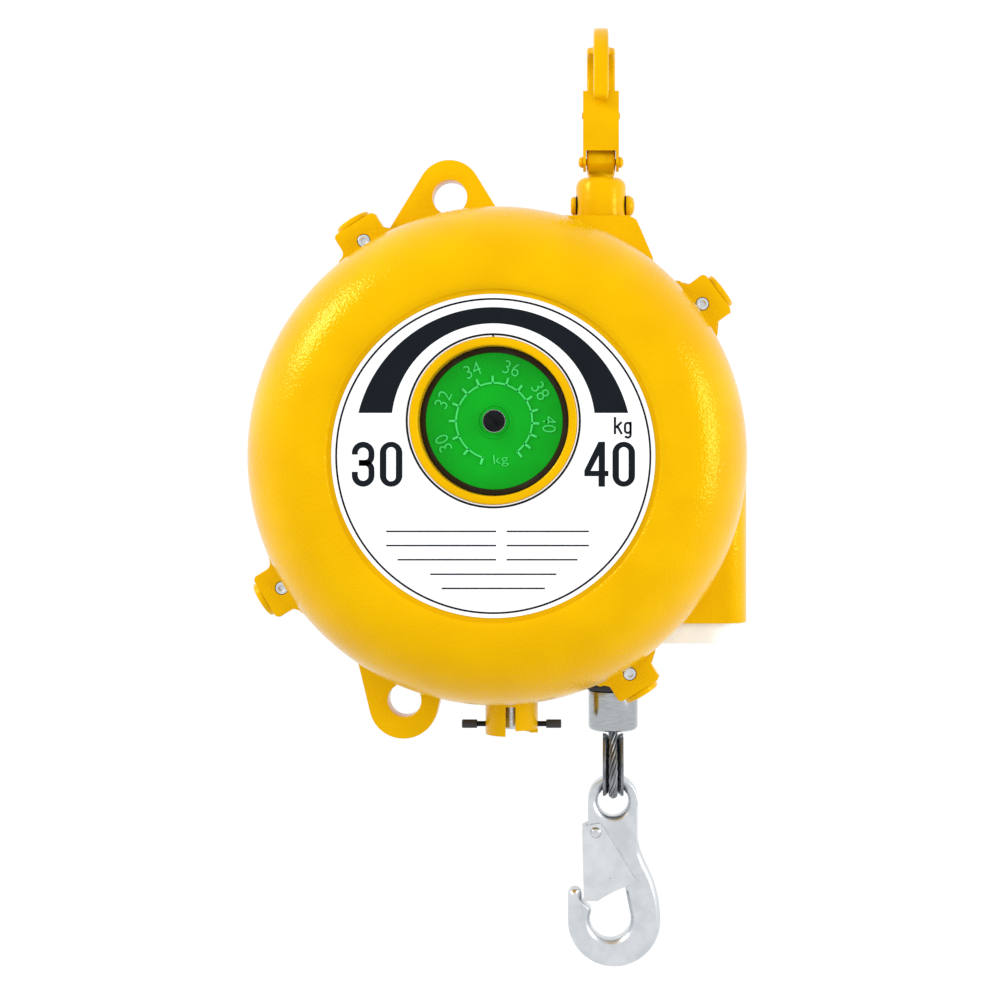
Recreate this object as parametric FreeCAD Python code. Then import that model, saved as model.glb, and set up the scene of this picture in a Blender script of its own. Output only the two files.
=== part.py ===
import FreeCAD, Part
import math
import os

# Spring balancer for hanging a hand tool: a round casing on a top hook, with a
# wire rope running out of its lower right side to a load hook.
# Millimetres. The main shaft lies along Y through X = 0, Z = 0 and the dial
# faces -Y. On export everything is moved so that the saddle of the top hook's
# bowl is the origin.

V = FreeCAD.Vector
X_DIR = V(1, 0, 0)
Y_DIR = V(0, 1, 0)
Z_DIR = V(0, 0, 1)
ROOT = V(0, 0, 0)

# ---- fits ----
RUNNING_GAP = 0.05          # radial, shaft in bush
SLIDE_GAP = 0.3             # between bodies that move apart
SEAT_GAP = 0.02             # between pieces fixed together

# ---- casing ----
CASING_R = 137.4            # outer radius of the round casing
CASING_Z = -18.4            # casing centre below the main shaft
WALL = 4.5
COVER_WALL = 4.0
PARTING_Y = -5.0            # joint plane between front cover and drum housing
RIM_BACK_Y = 3.5            # rear edge of the housing's full round rim
COVER_SIDE_R = CASING_R - 1.4
COVER_FLANGE_Y = PARTING_Y - 4.0
COVER_SIDE_Y = -25.0        # where the side starts to round over
CREST_R = 95.0              # highest circle of the cover
CREST_Y = -72.0
RECESS_R = 87.0             # label recess
RECESS_Y = -69.0
BACK_Y = 66.0               # outer face of the housing's back wall
HOUSING_EDGE = 6.0          # bevel round the back
CASING_C = V(0, 0, CASING_Z)

# ---- rope chute, lower right of the housing ----
CHUTE_OUT = 1.4             # chute wall past the casing
CHUTE_X = CASING_R + CHUTE_OUT
CHUTE_TOP_Z = CASING_Z
MOUTH_RISE = 43.3           # mouth above the casing's lowest line
MOUTH_Z = CASING_Z - CASING_R + MOUTH_RISE
MOUTH_LEFT_X = 40.0
CHUTE_CORNER = 12.0

# ---- dial well ----
RING_OUTER_R = 43.7
RING_INNER_R = 39.4
RING_FRONT_Y = -71.0
WELL_FLOOR_Y = -55.0
WELL_FLOOR = 4.0

# ---- corner lugs ----
LUG_ANGLES = (36.8, 122.1, 211.3, 301.0)
LUG_OUT = 13.6              # flat outer face past the casing
LUG_FLAT_R = CASING_R + LUG_OUT
LUG_WIDTH = 26.0
LUG_SPREAD = 4.0            # extra width where the lug meets the casing
LUG_FRONT_Y = -17.0
LUG_SCREW_OUT = 2.6
LUG_SCREW_R = CASING_R + LUG_SCREW_OUT
BUTTON_R = 10.0
BUTTON_T = 3.4

# ---- screws and bushes ----
SCREW_R = 2.0
SCREW_HEAD_R = 3.5
SCREW_HEAD_L = 4.0
FRONT_BUSH_R = 9.0
REAR_BUSH_R = 13.0
COVER_SCREW_R = 57.0
COVER_SCREWS = [(COVER_SCREW_R * math.cos(math.radians(a)), COVER_SCREW_R * math.sin(math.radians(a)))
                for a in (50, 125, 235, 310)]

# ---- hanging ears ----
EAR_FRONT_Y = 2.0
EAR_BACK_Y = 16.0
UPPER_EAR_OUT = 11.0        # ear centre past the casing's top line
UPPER_EAR_Z = CASING_Z + CASING_R + UPPER_EAR_OUT
UPPER_EAR = (-28.8, UPPER_EAR_Z, 17.7, 31.5)      # x, z, radius, flare of each side in degrees
UPPER_EAR_HOLE = (-28.6, UPPER_EAR_Z - 3.1, 9.8)
LOWER_EAR_OUT = 1.9
LOWER_EAR_Z = CASING_Z - CASING_R - LOWER_EAR_OUT
LOWER_EAR = (-54.5, LOWER_EAR_Z, 19.3, 13.5)
LOWER_EAR_HOLE = (-54.0, LOWER_EAR_Z + 2.2, 9.5)

# ---- top suspension ----
HANGER_X = 56.3
HANGER_Y = 13.0
BLOCK_DROP = 3.0            # block top below the casing's top line
BLOCK_TOP_Z = CASING_Z + CASING_R - BLOCK_DROP
BLOCK_LEFT_X = 30.0
BLOCK_RIGHT_X = 77.3
BLOCK_SLANT = 7.7           # the right side runs out this far at the casing
BLOCK_SLANT_Z = BLOCK_TOP_Z - 23.0
BLOCK_HALF_Y = 16.0
BLOCK_CORNER = 9.0
BLOCK_CEILING_Z = BLOCK_TOP_Z - 14.0
SWIVEL_R = 8.0
SWIVEL_L = 22.5
SWIVEL_END_Z = BLOCK_TOP_Z - SWIVEL_L
NUT_POCKET_R = 12.5
YOKE_R = 14.1
YOKE_H = 23.0
YOKE_TOP_Z = BLOCK_TOP_Z + YOKE_H
YOKE_EDGE = 5.0
PIN_RISE = 7.3              # pin above the block
PIN_Z = BLOCK_TOP_Z + PIN_RISE
PIN_R = 3.5
HOOK_STEM_R = 7.35
HOOK_SWING = 9.0            # degrees to either side
PIN_SEAT_X = 13.2
WASHER_T = 0.9

# ---- hooks: u across, v up the shank, from the eye centre ----
EYE_R = 14.3
EYE_HOLE_R = 8.6
BOWL_U = 0.57
BOWL_V = -67.8
BOWL_R = 26.3
SADDLE_U = -1.6
SADDLE_V = -67.3
SADDLE_R = 11.8
TIP_U = -21.9
TIP_V = -53.7
TIP_R = 3.9
NOTCH_V = -56.5
SHANK_LEFT_V = -20.5
THROAT_U = 6.6
THROAT_V = -48.0
SHANK_RIGHT_U = 13.9
SHOULDER_V = -3.0           # shank's back side meets the eye
WAIST_V = -21.0             # shank's back side starts to swell
WAIST_BEND = (15.4, -28.0)
HIP = (19.0, -37.0)
HIP_BEND = (24.6, -51.0)
HOOK_T = 13.0               # load hook thickness
RIB_T = 8.4                 # top hook: thickness of the curled part
BACK_T = 16.2               # top hook: thickness of the wide back
LATCH_PIVOT_U = -9.9
LATCH_PIVOT_V = -16.9
LATCH_T = 1.6
LATCH_BACK_U = -17.6        # outside of the web
LATCH_HEAD_V = -11.9        # top of the wings
LATCH_CROWN = 5.0           # width of the top
LATCH_CHEEK = 3.2           # drop from the top to the web and to the sloping side
LATCH_TOE_U = 12.6
LATCH_TOE_V = -43.7
LATCH_TOE_R = 3.0
LATCH_BELLY = 0.6           # how far the wing's lower edge bows up
LATCH_SILL_U = -8.7
LATCH_LIP_V = -55.8
LATCH_ROOM_V = -22.5        # the web starts below this
LATCH_DIMPLE_R = 1.8
LATCH_DIMPLE_U = -1.4
LATCH_DIMPLE_V = -44.6
LATCH_RIVET_R = 1.8
LATCH_HEAD_R = 3.1
FORGED_EDGE = 2.2
EYE_LAND = 1.9              # half of the flat left between the eye's rounded rims
FOOT_HALF = 8.0
FOOT_V = -11.5
FOOT_SIDE_V = -15.5
LATCH_GAP = 0.3
TOP_LATCH_IN = BACK_T + 2 * LATCH_GAP
LOAD_LATCH_IN = HOOK_T + 2 * LATCH_GAP
RIVET_HEAD_T = 2.6
TOP_HOOK_RISE = 6.3         # from the pin to the top hook's v = 0 line
TOP_HOOK_Z = PIN_Z + TOP_HOOK_RISE
ORIGIN = V(HANGER_X, HANGER_Y + SADDLE_U, TOP_HOOK_Z - SADDLE_V + SADDLE_R)

# ---- rope ----
ROPE_R = 2.6
ROPE_X = 63.2               # also the first winding radius on the drum
ROPE_Y = 22.0
GUIDE_T = 11.5
GUIDE_BOTTOM_Z = MOUTH_Z - GUIDE_T
BUMPER_R = 17.8
BUMPER_TOP_Z = GUIDE_BOTTOM_Z - SLIDE_GAP
BUMPER_L = 27.0
BUMPER_BOTTOM_Z = BUMPER_TOP_Z - BUMPER_L
FERRULE_R = 14.0
FERRULE_L = 23.2
FERRULE_BOTTOM_Z = BUMPER_BOTTOM_Z - FERRULE_L
LEG_OFFSET = 4.2
LOOP_R = 13.6               # rope centre line round the thimble
THIMBLE_R = 10.0            # inner radius of the thimble's bow
THIMBLE_HALF_W = 5.9
LOOP_DROP = 39.1            # from the ferrule to the lowest fibre of the rope loop
LOOP_BOTTOM_Z = FERRULE_BOTTOM_Z - LOOP_DROP
LOOP_Z = LOOP_BOTTOM_Z + ROPE_R + LOOP_R
ROPE_TOP_Z = -2.0
LOAD_EYE_DROP = 1.5         # load hook's eye centre below the loop
LOAD_EYE_Z = LOOP_BOTTOM_Z - LOAD_EYE_DROP
BEND_TOP_Z = BUMPER_BOTTOM_Z - 5.7
BEND_LOW_Z = FERRULE_BOTTOM_Z + 8.5
TAIL_TOP_Z = FERRULE_BOTTOM_Z + 12.0
BEND_R = 9.0

# ---- tension lock ----
LOCK_X = 5.8
LOCK_Y = 10.0
SLEEVE_R = 14.8
SLEEVE_OUT = 19.2           # sleeve past the casing's lowest line
SLEEVE_LONG_Z = CASING_Z - CASING_R - SLEEVE_OUT
SLEEVE_STEP = 3.1
SLEEVE_SHORT_Z = SLEEVE_LONG_Z + SLEEVE_STEP
SLEEVE_BORE_R = 10.6
SLEEVE_SHOULDER_Z = SLEEVE_LONG_Z + 22.0
SLEEVE_SHOULDER = 3.0
SLOT_W = 5.6
SLOT_L = 16.5
SLOT_TOP_Z = SLEEVE_LONG_Z + SLOT_L
NOTCH_W = 3.4
NOTCH_L = 6.9
NOTCH_TOP_Z = SLEEVE_LONG_Z + NOTCH_L
PLUNGER_R = 6.0
LOCK_DISC_R = 104.0
PLUNGER_CLEAR = 2.5         # plunger below the lock disc while the drum runs free
PLUNGER_TOP_Z = -LOCK_DISC_R - PLUNGER_CLEAR
PLUNGER_BOTTOM_Z = SLEEVE_LONG_Z + 2.8
COLLAR_R = 10.0
COLLAR_RISE = 24.0          # collar above the spring's shoulder
COLLAR_TOP_Z = SLEEVE_SHOULDER_Z + COLLAR_RISE
COLLAR_T = 3.0
CROSS_PIN_R = 1.5
CROSS_PIN_Z = SLEEVE_LONG_Z + 5.3
CROSS_PIN_HALF = 28.0
CAP_R = 2.4
CAP_L = 8.5
LOCK_BUSH_TOP_Z = COLLAR_TOP_Z + 17.0

# ---- drum group on the main shaft ----
SHAFT_R = 10.0
SHAFT_FRONT_R = 6.0
SHAFT_FRONT_Y = -62.0
SHAFT_STEP_Y = -50.2
SHAFT_BACK_OUT = 17.0       # shaft past the back wall
SHAFT_BACK_Y = BACK_Y + SHAFT_BACK_OUT
BEARING_R = 21.0
BEARING_T = 12.0
BEARING_RACE = 2.6
FRONT_BEARING_Y = -48.0
REAR_BEARING_Y = 42.0
CASE_R = 106.0
CASE_WALL = 3.0
CASE_FRONT_Y = -48.0
CASE_BACK_Y = -5.0
LID_T = 3.0
ARBOR_R = 29.0
ARBOR_FRONT_Y = -34.0
ARBOR_BACK_Y = -9.0
SPRING_T = 1.0
SPRING_TURNS = 12
LOCK_DISC_Y = 6.0
LOCK_DISC_T = 7.0
LOCK_NOTCHES = 8
LOCK_NOTCH_W = 13.4
LOCK_NOTCH_DEPTH = 13.0
HUB_R = 27.0
ROPE_PITCH = 6.4            # along the shaft, and outward, each turn
ROPE_TURNS = 5
FLANGE_GAP = 9.0            # rope flange in front of the back wall's outside
FLANGE_Y = BACK_Y - FLANGE_GAP
FLANGE_T = 3.0
FLANGE_R = 105.0
KEY_W = 6.0
CLIP_T = 1.2
CLIP_DEPTH = 0.8
DRUM_BOLT_R = 2.5
DRUM_BOLT_HEAD_R = 4.2
DRUM_BOLT_PCD_R = 45.0
DRUM_BOLTS = 6
MAINSPRING_FRONT_Y = CASE_FRONT_Y + CASE_WALL + 2.0
MAINSPRING_BACK_Y = CASE_BACK_Y - 2.0
SPRING_HEAD_T = 1.6
COIL_START = 1.0            # degrees past the place where the rope leaves

# ---- tension adjuster behind the back wall ----
GEAR_MODULE = 1.5
GEAR_TEETH = 60
GEAR_OUT = 9.5
GEAR_Y = BACK_Y + GEAR_OUT
GEAR_W = 10.0
WORM_R = 7.0
GEAR_R = GEAR_MODULE * GEAR_TEETH / 2
WORM_X = -(GEAR_R + WORM_R)
GEAR_COVER_H = 22.0
GEAR_COVER_Y = BACK_Y + GEAR_COVER_H
GEAR_COVER_WALL = 3.0
GEAR_ADDENDUM = GEAR_MODULE
GEAR_DEDENDUM = 1.25 * GEAR_MODULE
GEAR_PITCH = math.pi * GEAR_MODULE
TOOTH_T = 1.8               # at the pitch line, slimmer than half the pitch for backlash
FLANK = math.tan(math.radians(20))
WORM_TURNS = 6
WORM_JOURNAL_R = 6.0
WORM_TOP_Z = 22.7
WORM_LOW_Z = -32.0
WORM_HEX = 11.0
WORM_BUSH_GAP = 5.0         # from the last thread to either bush, clear of the wheel
WORM_HEX_L = 12.0
TUBE_R = 12.5
TUBE_TOP_Z = 26.0
TUBE_LOW_Z = -30.0
WORM_BORE_R = WORM_R + GEAR_ADDENDUM + 0.6

# ---- dial ----
DIAL_R = 36.1
DIAL_FRONT_Y = -61.0
DIAL_T = 3.0
DIAL_HUB_R = 7.8
LABEL_R = 84.7
LABEL_T = 0.4
SCALE_R = 19.6              # raised ring that carries the ticks
SCALE_RING_W = 1.0
SCALE_RAISE = 0.5
TICK_OUTER_R = 24.0
TICK_W = 1.3
SCALE_LOW = 28
SCALE_HIGH = 43
SCALE_MIDDLE = 35
SCALE_MIDDLE_ANGLE = 92.0
SCALE_STEP = 20.67
SCALE_TAPER = 0.326


def rod(radius, start, end, direction, base=ROOT):
    """Cylinder along a main direction, from start to end, on a line through base."""
    return Part.makeCylinder(radius, end - start, base + direction * start, direction)


def ring(outer, inner, start, end, direction, base=ROOT):
    return rod(outer, start, end, direction, base).cut(rod(inner, start - 1, end + 1, direction, base))


def block(x0, x1, y0, y1, z0, z1):
    return Part.makeBox(x1 - x0, y1 - y0, z1 - z0, V(x0, y0, z0))


def face_of(points):
    return Part.Face(Part.makePolygon(points + points[:1]))


def slab(points, y0, y1):
    """Plate of the closed X, Z outline between two Y planes."""
    return face_of([V(x, y0, z) for x, z in points]).extrude(V(0, y1 - y0, 0))


def turned(profile, centre_z=0.0):
    """Solid of revolution about the shaft direction from (radius, y) corners."""
    face = face_of([V(r, y, centre_z) for r, y in profile])
    return face.revolve(V(0, 0, centre_z), Y_DIR, 360)


def turned_up(profile, x, y):
    """Solid of revolution about a vertical line from (radius, z) corners."""
    face = face_of([V(x + r, y, z) for r, z in profile])
    return face.revolve(V(x, y, 0), Z_DIR, 360)


def about_shaft(shape, degrees, centre=ROOT):
    """Turned copy; positive is counter-clockwise seen from the dial side."""
    copy = shape.copy()
    copy.rotate(centre, Y_DIR, -degrees)
    return copy


def hexagon(across_flats, x, y, z0, z1):
    corner = across_flats / math.sqrt(3)
    ring_points = [
        V(x + corner * math.cos(math.radians(60 * i)), y + corner * math.sin(math.radians(60 * i)), z0)
        for i in range(6)
    ]
    return face_of(ring_points).extrude(V(0, 0, z1 - z0))


def fused(*shapes):
    return shapes[0].fuse(list(shapes[1:])).removeSplitter()


# ================= casing =================
def quarter_round(side_r, crest_r, side_y, crest_y, steps=7):
    """Corners of the cover's rounded shoulder, from the side to the crest."""
    out = []
    for i in range(1, steps + 1):
        a = math.pi / 2 * i / steps
        out.append((crest_r + (side_r - crest_r) * math.cos(a), side_y + (crest_y - side_y) * math.sin(a)))
    return out


def lug(angle, y0, y1):
    """One corner lug with a flat outer face, from inside the casing wall outwards."""
    half = LUG_WIDTH / 2
    inner = CASING_R - WALL / 2
    base = half + LUG_SPREAD
    corners = [(inner, -base), (CASING_R + 1.5, -base), (CASING_R + 5, -half), (LUG_FLAT_R, -half),
               (LUG_FLAT_R, half), (CASING_R + 5, half), (CASING_R + 1.5, base), (inner, base)]
    plate = slab([(a, b + CASING_Z) for a, b in corners], y0, y1)
    return about_shaft(plate, angle, CASING_C)


def lug_point(angle, radius, y):
    a = math.radians(angle)
    return V(radius * math.cos(a), y, CASING_Z + radius * math.sin(a))


def make_front_cover():
    outer = [(0, PARTING_Y), (CASING_R, PARTING_Y), (CASING_R, COVER_FLANGE_Y), (COVER_SIDE_R, COVER_FLANGE_Y),
             (COVER_SIDE_R, COVER_SIDE_Y)]
    outer += quarter_round(COVER_SIDE_R, CREST_R, COVER_SIDE_Y, CREST_Y, 9)
    outer += [(RECESS_R + 2, CREST_Y + 0.6), (RECESS_R, RECESS_Y), (0, RECESS_Y)]
    inner = [(0, PARTING_Y + 1), (COVER_SIDE_R - COVER_WALL, PARTING_Y + 1), (COVER_SIDE_R - COVER_WALL, COVER_SIDE_Y)]
    inner += quarter_round(COVER_SIDE_R - COVER_WALL, CREST_R, COVER_SIDE_Y, CREST_Y + COVER_WALL, 6)
    inner += [(RECESS_R - 2, RECESS_Y + COVER_WALL), (0, RECESS_Y + COVER_WALL)]
    shell = turned(outer, CASING_Z)
    for angle in LUG_ANGLES:
        shell = shell.fuse(lug(angle, LUG_FRONT_Y, PARTING_Y))
    shell = shell.cut(turned(inner, CASING_Z))
    well = rod(RING_OUTER_R, RING_FRONT_Y, WELL_FLOOR_Y + WELL_FLOOR, Y_DIR)
    shell = shell.fuse(well).cut(rod(RING_INNER_R, RING_FRONT_Y - 1, WELL_FLOOR_Y, Y_DIR))
    shell = shell.cut(rod(FRONT_BUSH_R, CREST_Y, COVER_SIDE_Y, Y_DIR))
    for angle in LUG_ANGLES:
        screw = lug_point(angle, LUG_SCREW_R, 0)
        shell = shell.cut(rod(SCREW_R + SEAT_GAP, LUG_FRONT_Y - 1, PARTING_Y + 1, Y_DIR, screw))
        shell = shell.cut(rod(SCREW_HEAD_R + 0.2, LUG_FRONT_Y - 1, LUG_FRONT_Y + SCREW_HEAD_L, Y_DIR, screw))
    return shell.removeSplitter()


def ear(spec, hole):
    """Flat hanging ear whose straight sides leave the top arc at the flare angle."""
    x, z, radius, flare = spec
    hole_x, hole_z, hole_r = hole
    away = math.atan2(z - CASING_Z, x)
    sign = 1 if z > CASING_Z else -1
    reach = abs(z - CASING_Z) - (CASING_R - 12)
    a = math.radians(flare)
    left = (x - radius * math.cos(a), z + sign * radius * math.sin(a))
    right = (x + radius * math.cos(a), z + sign * radius * math.sin(a))
    foot = reach + radius + 14
    corners = [left, right,
               (right[0] + foot * math.sin(a), right[1] - sign * foot * math.cos(a)),
               (left[0] - foot * math.sin(a), left[1] - sign * foot * math.cos(a))]
    plate = slab(corners, EAR_FRONT_Y, EAR_BACK_Y)
    plate = plate.fuse(rod(radius, EAR_FRONT_Y, EAR_BACK_Y, Y_DIR, V(x, 0, z)))
    return plate, rod(hole_r, EAR_FRONT_Y - 1, EAR_BACK_Y + 1, Y_DIR, V(hole_x, 0, hole_z))


def make_drum_housing():
    rim = rod(CASING_R, PARTING_Y, RIM_BACK_Y, Y_DIR, CASING_C)
    chamber = turned([(0, RIM_BACK_Y - 1), (CASING_R, RIM_BACK_Y - 1), (CASING_R, BACK_Y - HOUSING_EDGE),
                      (CASING_R - HOUSING_EDGE, BACK_Y), (0, BACK_Y)], CASING_Z)
    chute = block(MOUTH_LEFT_X, CHUTE_X, RIM_BACK_Y, BACK_Y, MOUTH_Z, CHUTE_TOP_Z)
    chute = chute.makeFillet(CHUTE_CORNER, [e for e in chute.Edges if is_chute_corner(e)])
    under_mouth = block(MOUTH_LEFT_X, CHUTE_X + 20, RIM_BACK_Y, BACK_Y + 1, CASING_Z - CASING_R - 10, MOUTH_Z)
    body = rim.fuse([chamber.cut(under_mouth), chute])
    top_ear, top_hole = ear(UPPER_EAR, UPPER_EAR_HOLE)
    low_ear, low_hole = ear(LOWER_EAR, LOWER_EAR_HOLE)
    hanger = hanger_block()
    sleeve = rod(SLEEVE_R, SLEEVE_LONG_Z, MOUTH_Z, Z_DIR, V(LOCK_X, LOCK_Y, 0))
    sleeve = sleeve.common(block(-CASING_R, CASING_R, PARTING_Y, BACK_Y, SLEEVE_LONG_Z, MOUTH_Z))
    rear_boss = rod(REAR_BUSH_R + 5, BACK_Y - WALL - 2, BACK_Y, Y_DIR)
    worm_pads = [rod(5.5, BACK_Y - WALL - 5, BACK_Y, Y_DIR, V(x, 0, z)) for x, z in COVER_SCREWS]
    for angle in LUG_ANGLES:
        body = body.fuse(lug(angle, PARTING_Y, RIM_BACK_Y))
    body = body.fuse([top_ear, low_ear, hanger, sleeve])
    hollow = turned([(0, PARTING_Y - 1), (CASING_R - WALL, PARTING_Y - 1), (CASING_R - WALL, BACK_Y - WALL),
                     (0, BACK_Y - WALL)], CASING_Z)
    ceiling = block(BLOCK_LEFT_X + 8, BLOCK_RIGHT_X, 1.0, 26.0, BLOCK_CEILING_Z, CASING_R)
    side_wall = block(MOUTH_LEFT_X - WALL, MOUTH_LEFT_X, RIM_BACK_Y, BACK_Y, CASING_Z - CASING_R, MOUTH_Z)
    web = block(MOUTH_LEFT_X - WALL, CHUTE_X, RIM_BACK_Y - WALL, RIM_BACK_Y, CASING_Z - CASING_R, MOUTH_Z)
    lock_boss = rod(SLEEVE_R, CASING_Z - CASING_R, LOCK_BUSH_TOP_Z, Z_DIR, V(LOCK_X, LOCK_Y, 0))
    hollow = hollow.cut([ceiling, lock_boss, side_wall, web])
    chute_hollow = block(MOUTH_LEFT_X, CHUTE_X - WALL, RIM_BACK_Y + WALL, BACK_Y - WALL, MOUTH_Z - 1, CHUTE_TOP_Z)
    body = body.cut(hollow).cut(chute_hollow)
    body = body.fuse([rear_boss] + worm_pads)
    body = body.cut([top_hole, low_hole, rod(REAR_BUSH_R, BACK_Y - WALL - 8, BACK_Y + 1, Y_DIR)])
    hanger = V(HANGER_X, HANGER_Y, 0)
    body = body.cut([rod(SWIVEL_R + RUNNING_GAP, CASING_Z, BLOCK_TOP_Z + 1, Z_DIR, hanger),
                     rod(NUT_POCKET_R, CASING_Z, BLOCK_CEILING_Z, Z_DIR, hanger)])
    for angle in LUG_ANGLES:
        screw = lug_point(angle, LUG_SCREW_R, 0)
        body = body.cut(rod(SCREW_R + SEAT_GAP, PARTING_Y - 1, RIM_BACK_Y - 2, Y_DIR, screw))
    for x, z in COVER_SCREWS:
        body = body.cut(rod(SCREW_R + SEAT_GAP, BACK_Y - WALL - 3, BACK_Y + 1, Y_DIR, V(x, 0, z)))
    return body.cut(sleeve_hollow()).removeSplitter()


def is_chute_corner(edge):
    """The chute's upright outer corner nearest the dial side is the only rounded one."""
    box = edge.BoundBox
    upright = box.ZLength > 50 and abs(box.XMin - CHUTE_X) < 0.1
    return upright and abs(box.YMin - RIM_BACK_Y) < 0.1


def hanger_block():
    c = BLOCK_CORNER
    low = CASING_Z + 90
    outline = [(BLOCK_LEFT_X, low), (BLOCK_LEFT_X, BLOCK_TOP_Z), (BLOCK_RIGHT_X - c * 0.6, BLOCK_TOP_Z),
               (BLOCK_RIGHT_X - c * 0.15, BLOCK_TOP_Z - c * 0.25), (BLOCK_RIGHT_X + 1, BLOCK_TOP_Z - c * 0.8),
               (BLOCK_RIGHT_X + BLOCK_SLANT, BLOCK_SLANT_Z), (BLOCK_RIGHT_X + BLOCK_SLANT + 5, low)]
    return slab(outline, HANGER_Y - BLOCK_HALF_Y, HANGER_Y + BLOCK_HALF_Y)


def sleeve_hollow():
    """Everything bored, stepped and slotted out of the lock sleeve."""
    at = V(LOCK_X, LOCK_Y, 0)
    low = SLEEVE_LONG_Z - 1
    ceiling = COLLAR_TOP_Z + 1
    bore = rod(SLEEVE_BORE_R, low, SLEEVE_SHOULDER_Z - SLEEVE_SHOULDER, Z_DIR, at)
    spring_room = rod(SLEEVE_BORE_R, SLEEVE_SHOULDER_Z, ceiling, Z_DIR, at)
    guide = rod(PLUNGER_R + RUNNING_GAP, low, 0, Z_DIR, at)
    slot = block(LOCK_X - SLOT_W / 2, LOCK_X + SLOT_W / 2, LOCK_Y - 20, LOCK_Y + 20, low, SLOT_TOP_Z)
    notch = block(LOCK_X - 20, LOCK_X + 20, LOCK_Y - NOTCH_W / 2, LOCK_Y + NOTCH_W / 2, low, NOTCH_TOP_Z)
    steps = [block(LOCK_X, LOCK_X + 20, LOCK_Y - 20, LOCK_Y, low, SLEEVE_SHORT_Z),
             block(LOCK_X - 20, LOCK_X, LOCK_Y, LOCK_Y + 20, low, SLEEVE_SHORT_Z)]
    return bore.fuse([spring_room, guide, slot, notch] + steps)


def make_rope_guide():
    plate = block(MOUTH_LEFT_X + 4, CHUTE_X - 0.7, RIM_BACK_Y + 3, BACK_Y - WALL, GUIDE_BOTTOM_Z, MOUTH_Z)
    plate = plate.makeFillet(20.0, [e for e in plate.Edges if e.BoundBox.ZLength > 5])
    plug = block(MOUTH_LEFT_X + SEAT_GAP, CHUTE_X - WALL - SEAT_GAP, RIM_BACK_Y + WALL + SEAT_GAP,
                 BACK_Y - WALL - SEAT_GAP, MOUTH_Z, MOUTH_Z + 5)
    plug = plug.cut(block(MOUTH_LEFT_X + WALL, CHUTE_X - 2 * WALL, RIM_BACK_Y + 2 * WALL, BACK_Y - 2 * WALL,
                          MOUTH_Z + 1.5, MOUTH_Z + 6))
    return plate.fuse(plug).cut(rope_slot()).removeSplitter()


def rope_slot():
    """Slot the rope walks along as it leaves ever larger windings."""
    radius = ROPE_R + 1.0
    run = ROPE_PITCH * ROPE_TURNS
    at = V(ROPE_X, ROPE_Y, 0)
    far = V(ROPE_X + run, ROPE_Y + run, 0)
    slot = rod(radius, GUIDE_BOTTOM_Z - 1, MOUTH_Z + 7, Z_DIR, at)
    slot = slot.fuse(rod(radius, GUIDE_BOTTOM_Z - 1, MOUTH_Z + 7, Z_DIR, far))
    long_side = run * math.sqrt(2)
    middle = Part.makeBox(long_side, 2 * radius, MOUTH_Z + 8 - GUIDE_BOTTOM_Z,
                          V(ROPE_X, ROPE_Y - radius, GUIDE_BOTTOM_Z - 1))
    middle.rotate(at, Z_DIR, 45)
    return slot.fuse(middle)


def socket_screw(at, direction_sign, head_r, head_l, shank_r, shank_l, key=1.5):
    """Socket-head screw along Y whose head's outer face is at the given point."""
    head = rod(head_r, 0, head_l, Y_DIR)
    shank = rod(shank_r, head_l, head_l + shank_l, Y_DIR)
    socket = hexagon(2 * key, 0, 0, -1, head_l * 0.6)
    socket.rotate(ROOT, X_DIR, -90)
    screw = head.fuse(shank).cut(socket)
    if direction_sign < 0:
        screw.rotate(ROOT, Z_DIR, 180)
    screw.translate(at)
    return screw


def make_lug_screws():
    return [socket_screw(lug_point(a, LUG_SCREW_R, LUG_FRONT_Y), 1, SCREW_HEAD_R, SCREW_HEAD_L, SCREW_R, 12.0)
            for a in LUG_ANGLES]


def make_lug_buttons():
    buttons = []
    for angle in LUG_ANGLES:
        middle_y = (LUG_FRONT_Y + RIM_BACK_Y) / 2
        profile = [(0, 0), (BUTTON_R, 0), (BUTTON_R, 1.6), (BUTTON_R - 1.6, BUTTON_T), (0, BUTTON_T)]
        button = turned_up(profile, 0, 0)
        button.rotate(ROOT, Y_DIR, 90)
        button.translate(V(LUG_FLAT_R, middle_y, CASING_Z))
        buttons.append(about_shaft(button, angle, CASING_C))
    return buttons


def make_label():
    sheet = rod(LABEL_R, RECESS_Y - LABEL_T, RECESS_Y, Y_DIR, CASING_C)
    return sheet.cut(rod(RING_OUTER_R + 0.3, RECESS_Y - 2, RECESS_Y + 1, Y_DIR))


def make_front_bush():
    bush = ring(FRONT_BUSH_R - SEAT_GAP, SHAFT_FRONT_R + RUNNING_GAP, WELL_FLOOR_Y, WELL_FLOOR_Y + WELL_FLOOR, Y_DIR)
    flange = ring(FRONT_BUSH_R + 2, SHAFT_FRONT_R + RUNNING_GAP, WELL_FLOOR_Y - 1.5, WELL_FLOOR_Y, Y_DIR)
    return bush.fuse(flange).removeSplitter()


def make_rear_bush():
    bush = ring(REAR_BUSH_R - SEAT_GAP, SHAFT_R + RUNNING_GAP, BACK_Y - WALL - 2, BACK_Y, Y_DIR)
    flange = ring(REAR_BUSH_R + 2, SHAFT_R + RUNNING_GAP, BACK_Y - WALL - 4, BACK_Y - WALL - 2, Y_DIR)
    return bush.fuse(flange).removeSplitter()


# ================= hooks =================
def arc_edge(a, m, b):
    return Part.Arc(a, m, b).toShape()


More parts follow.
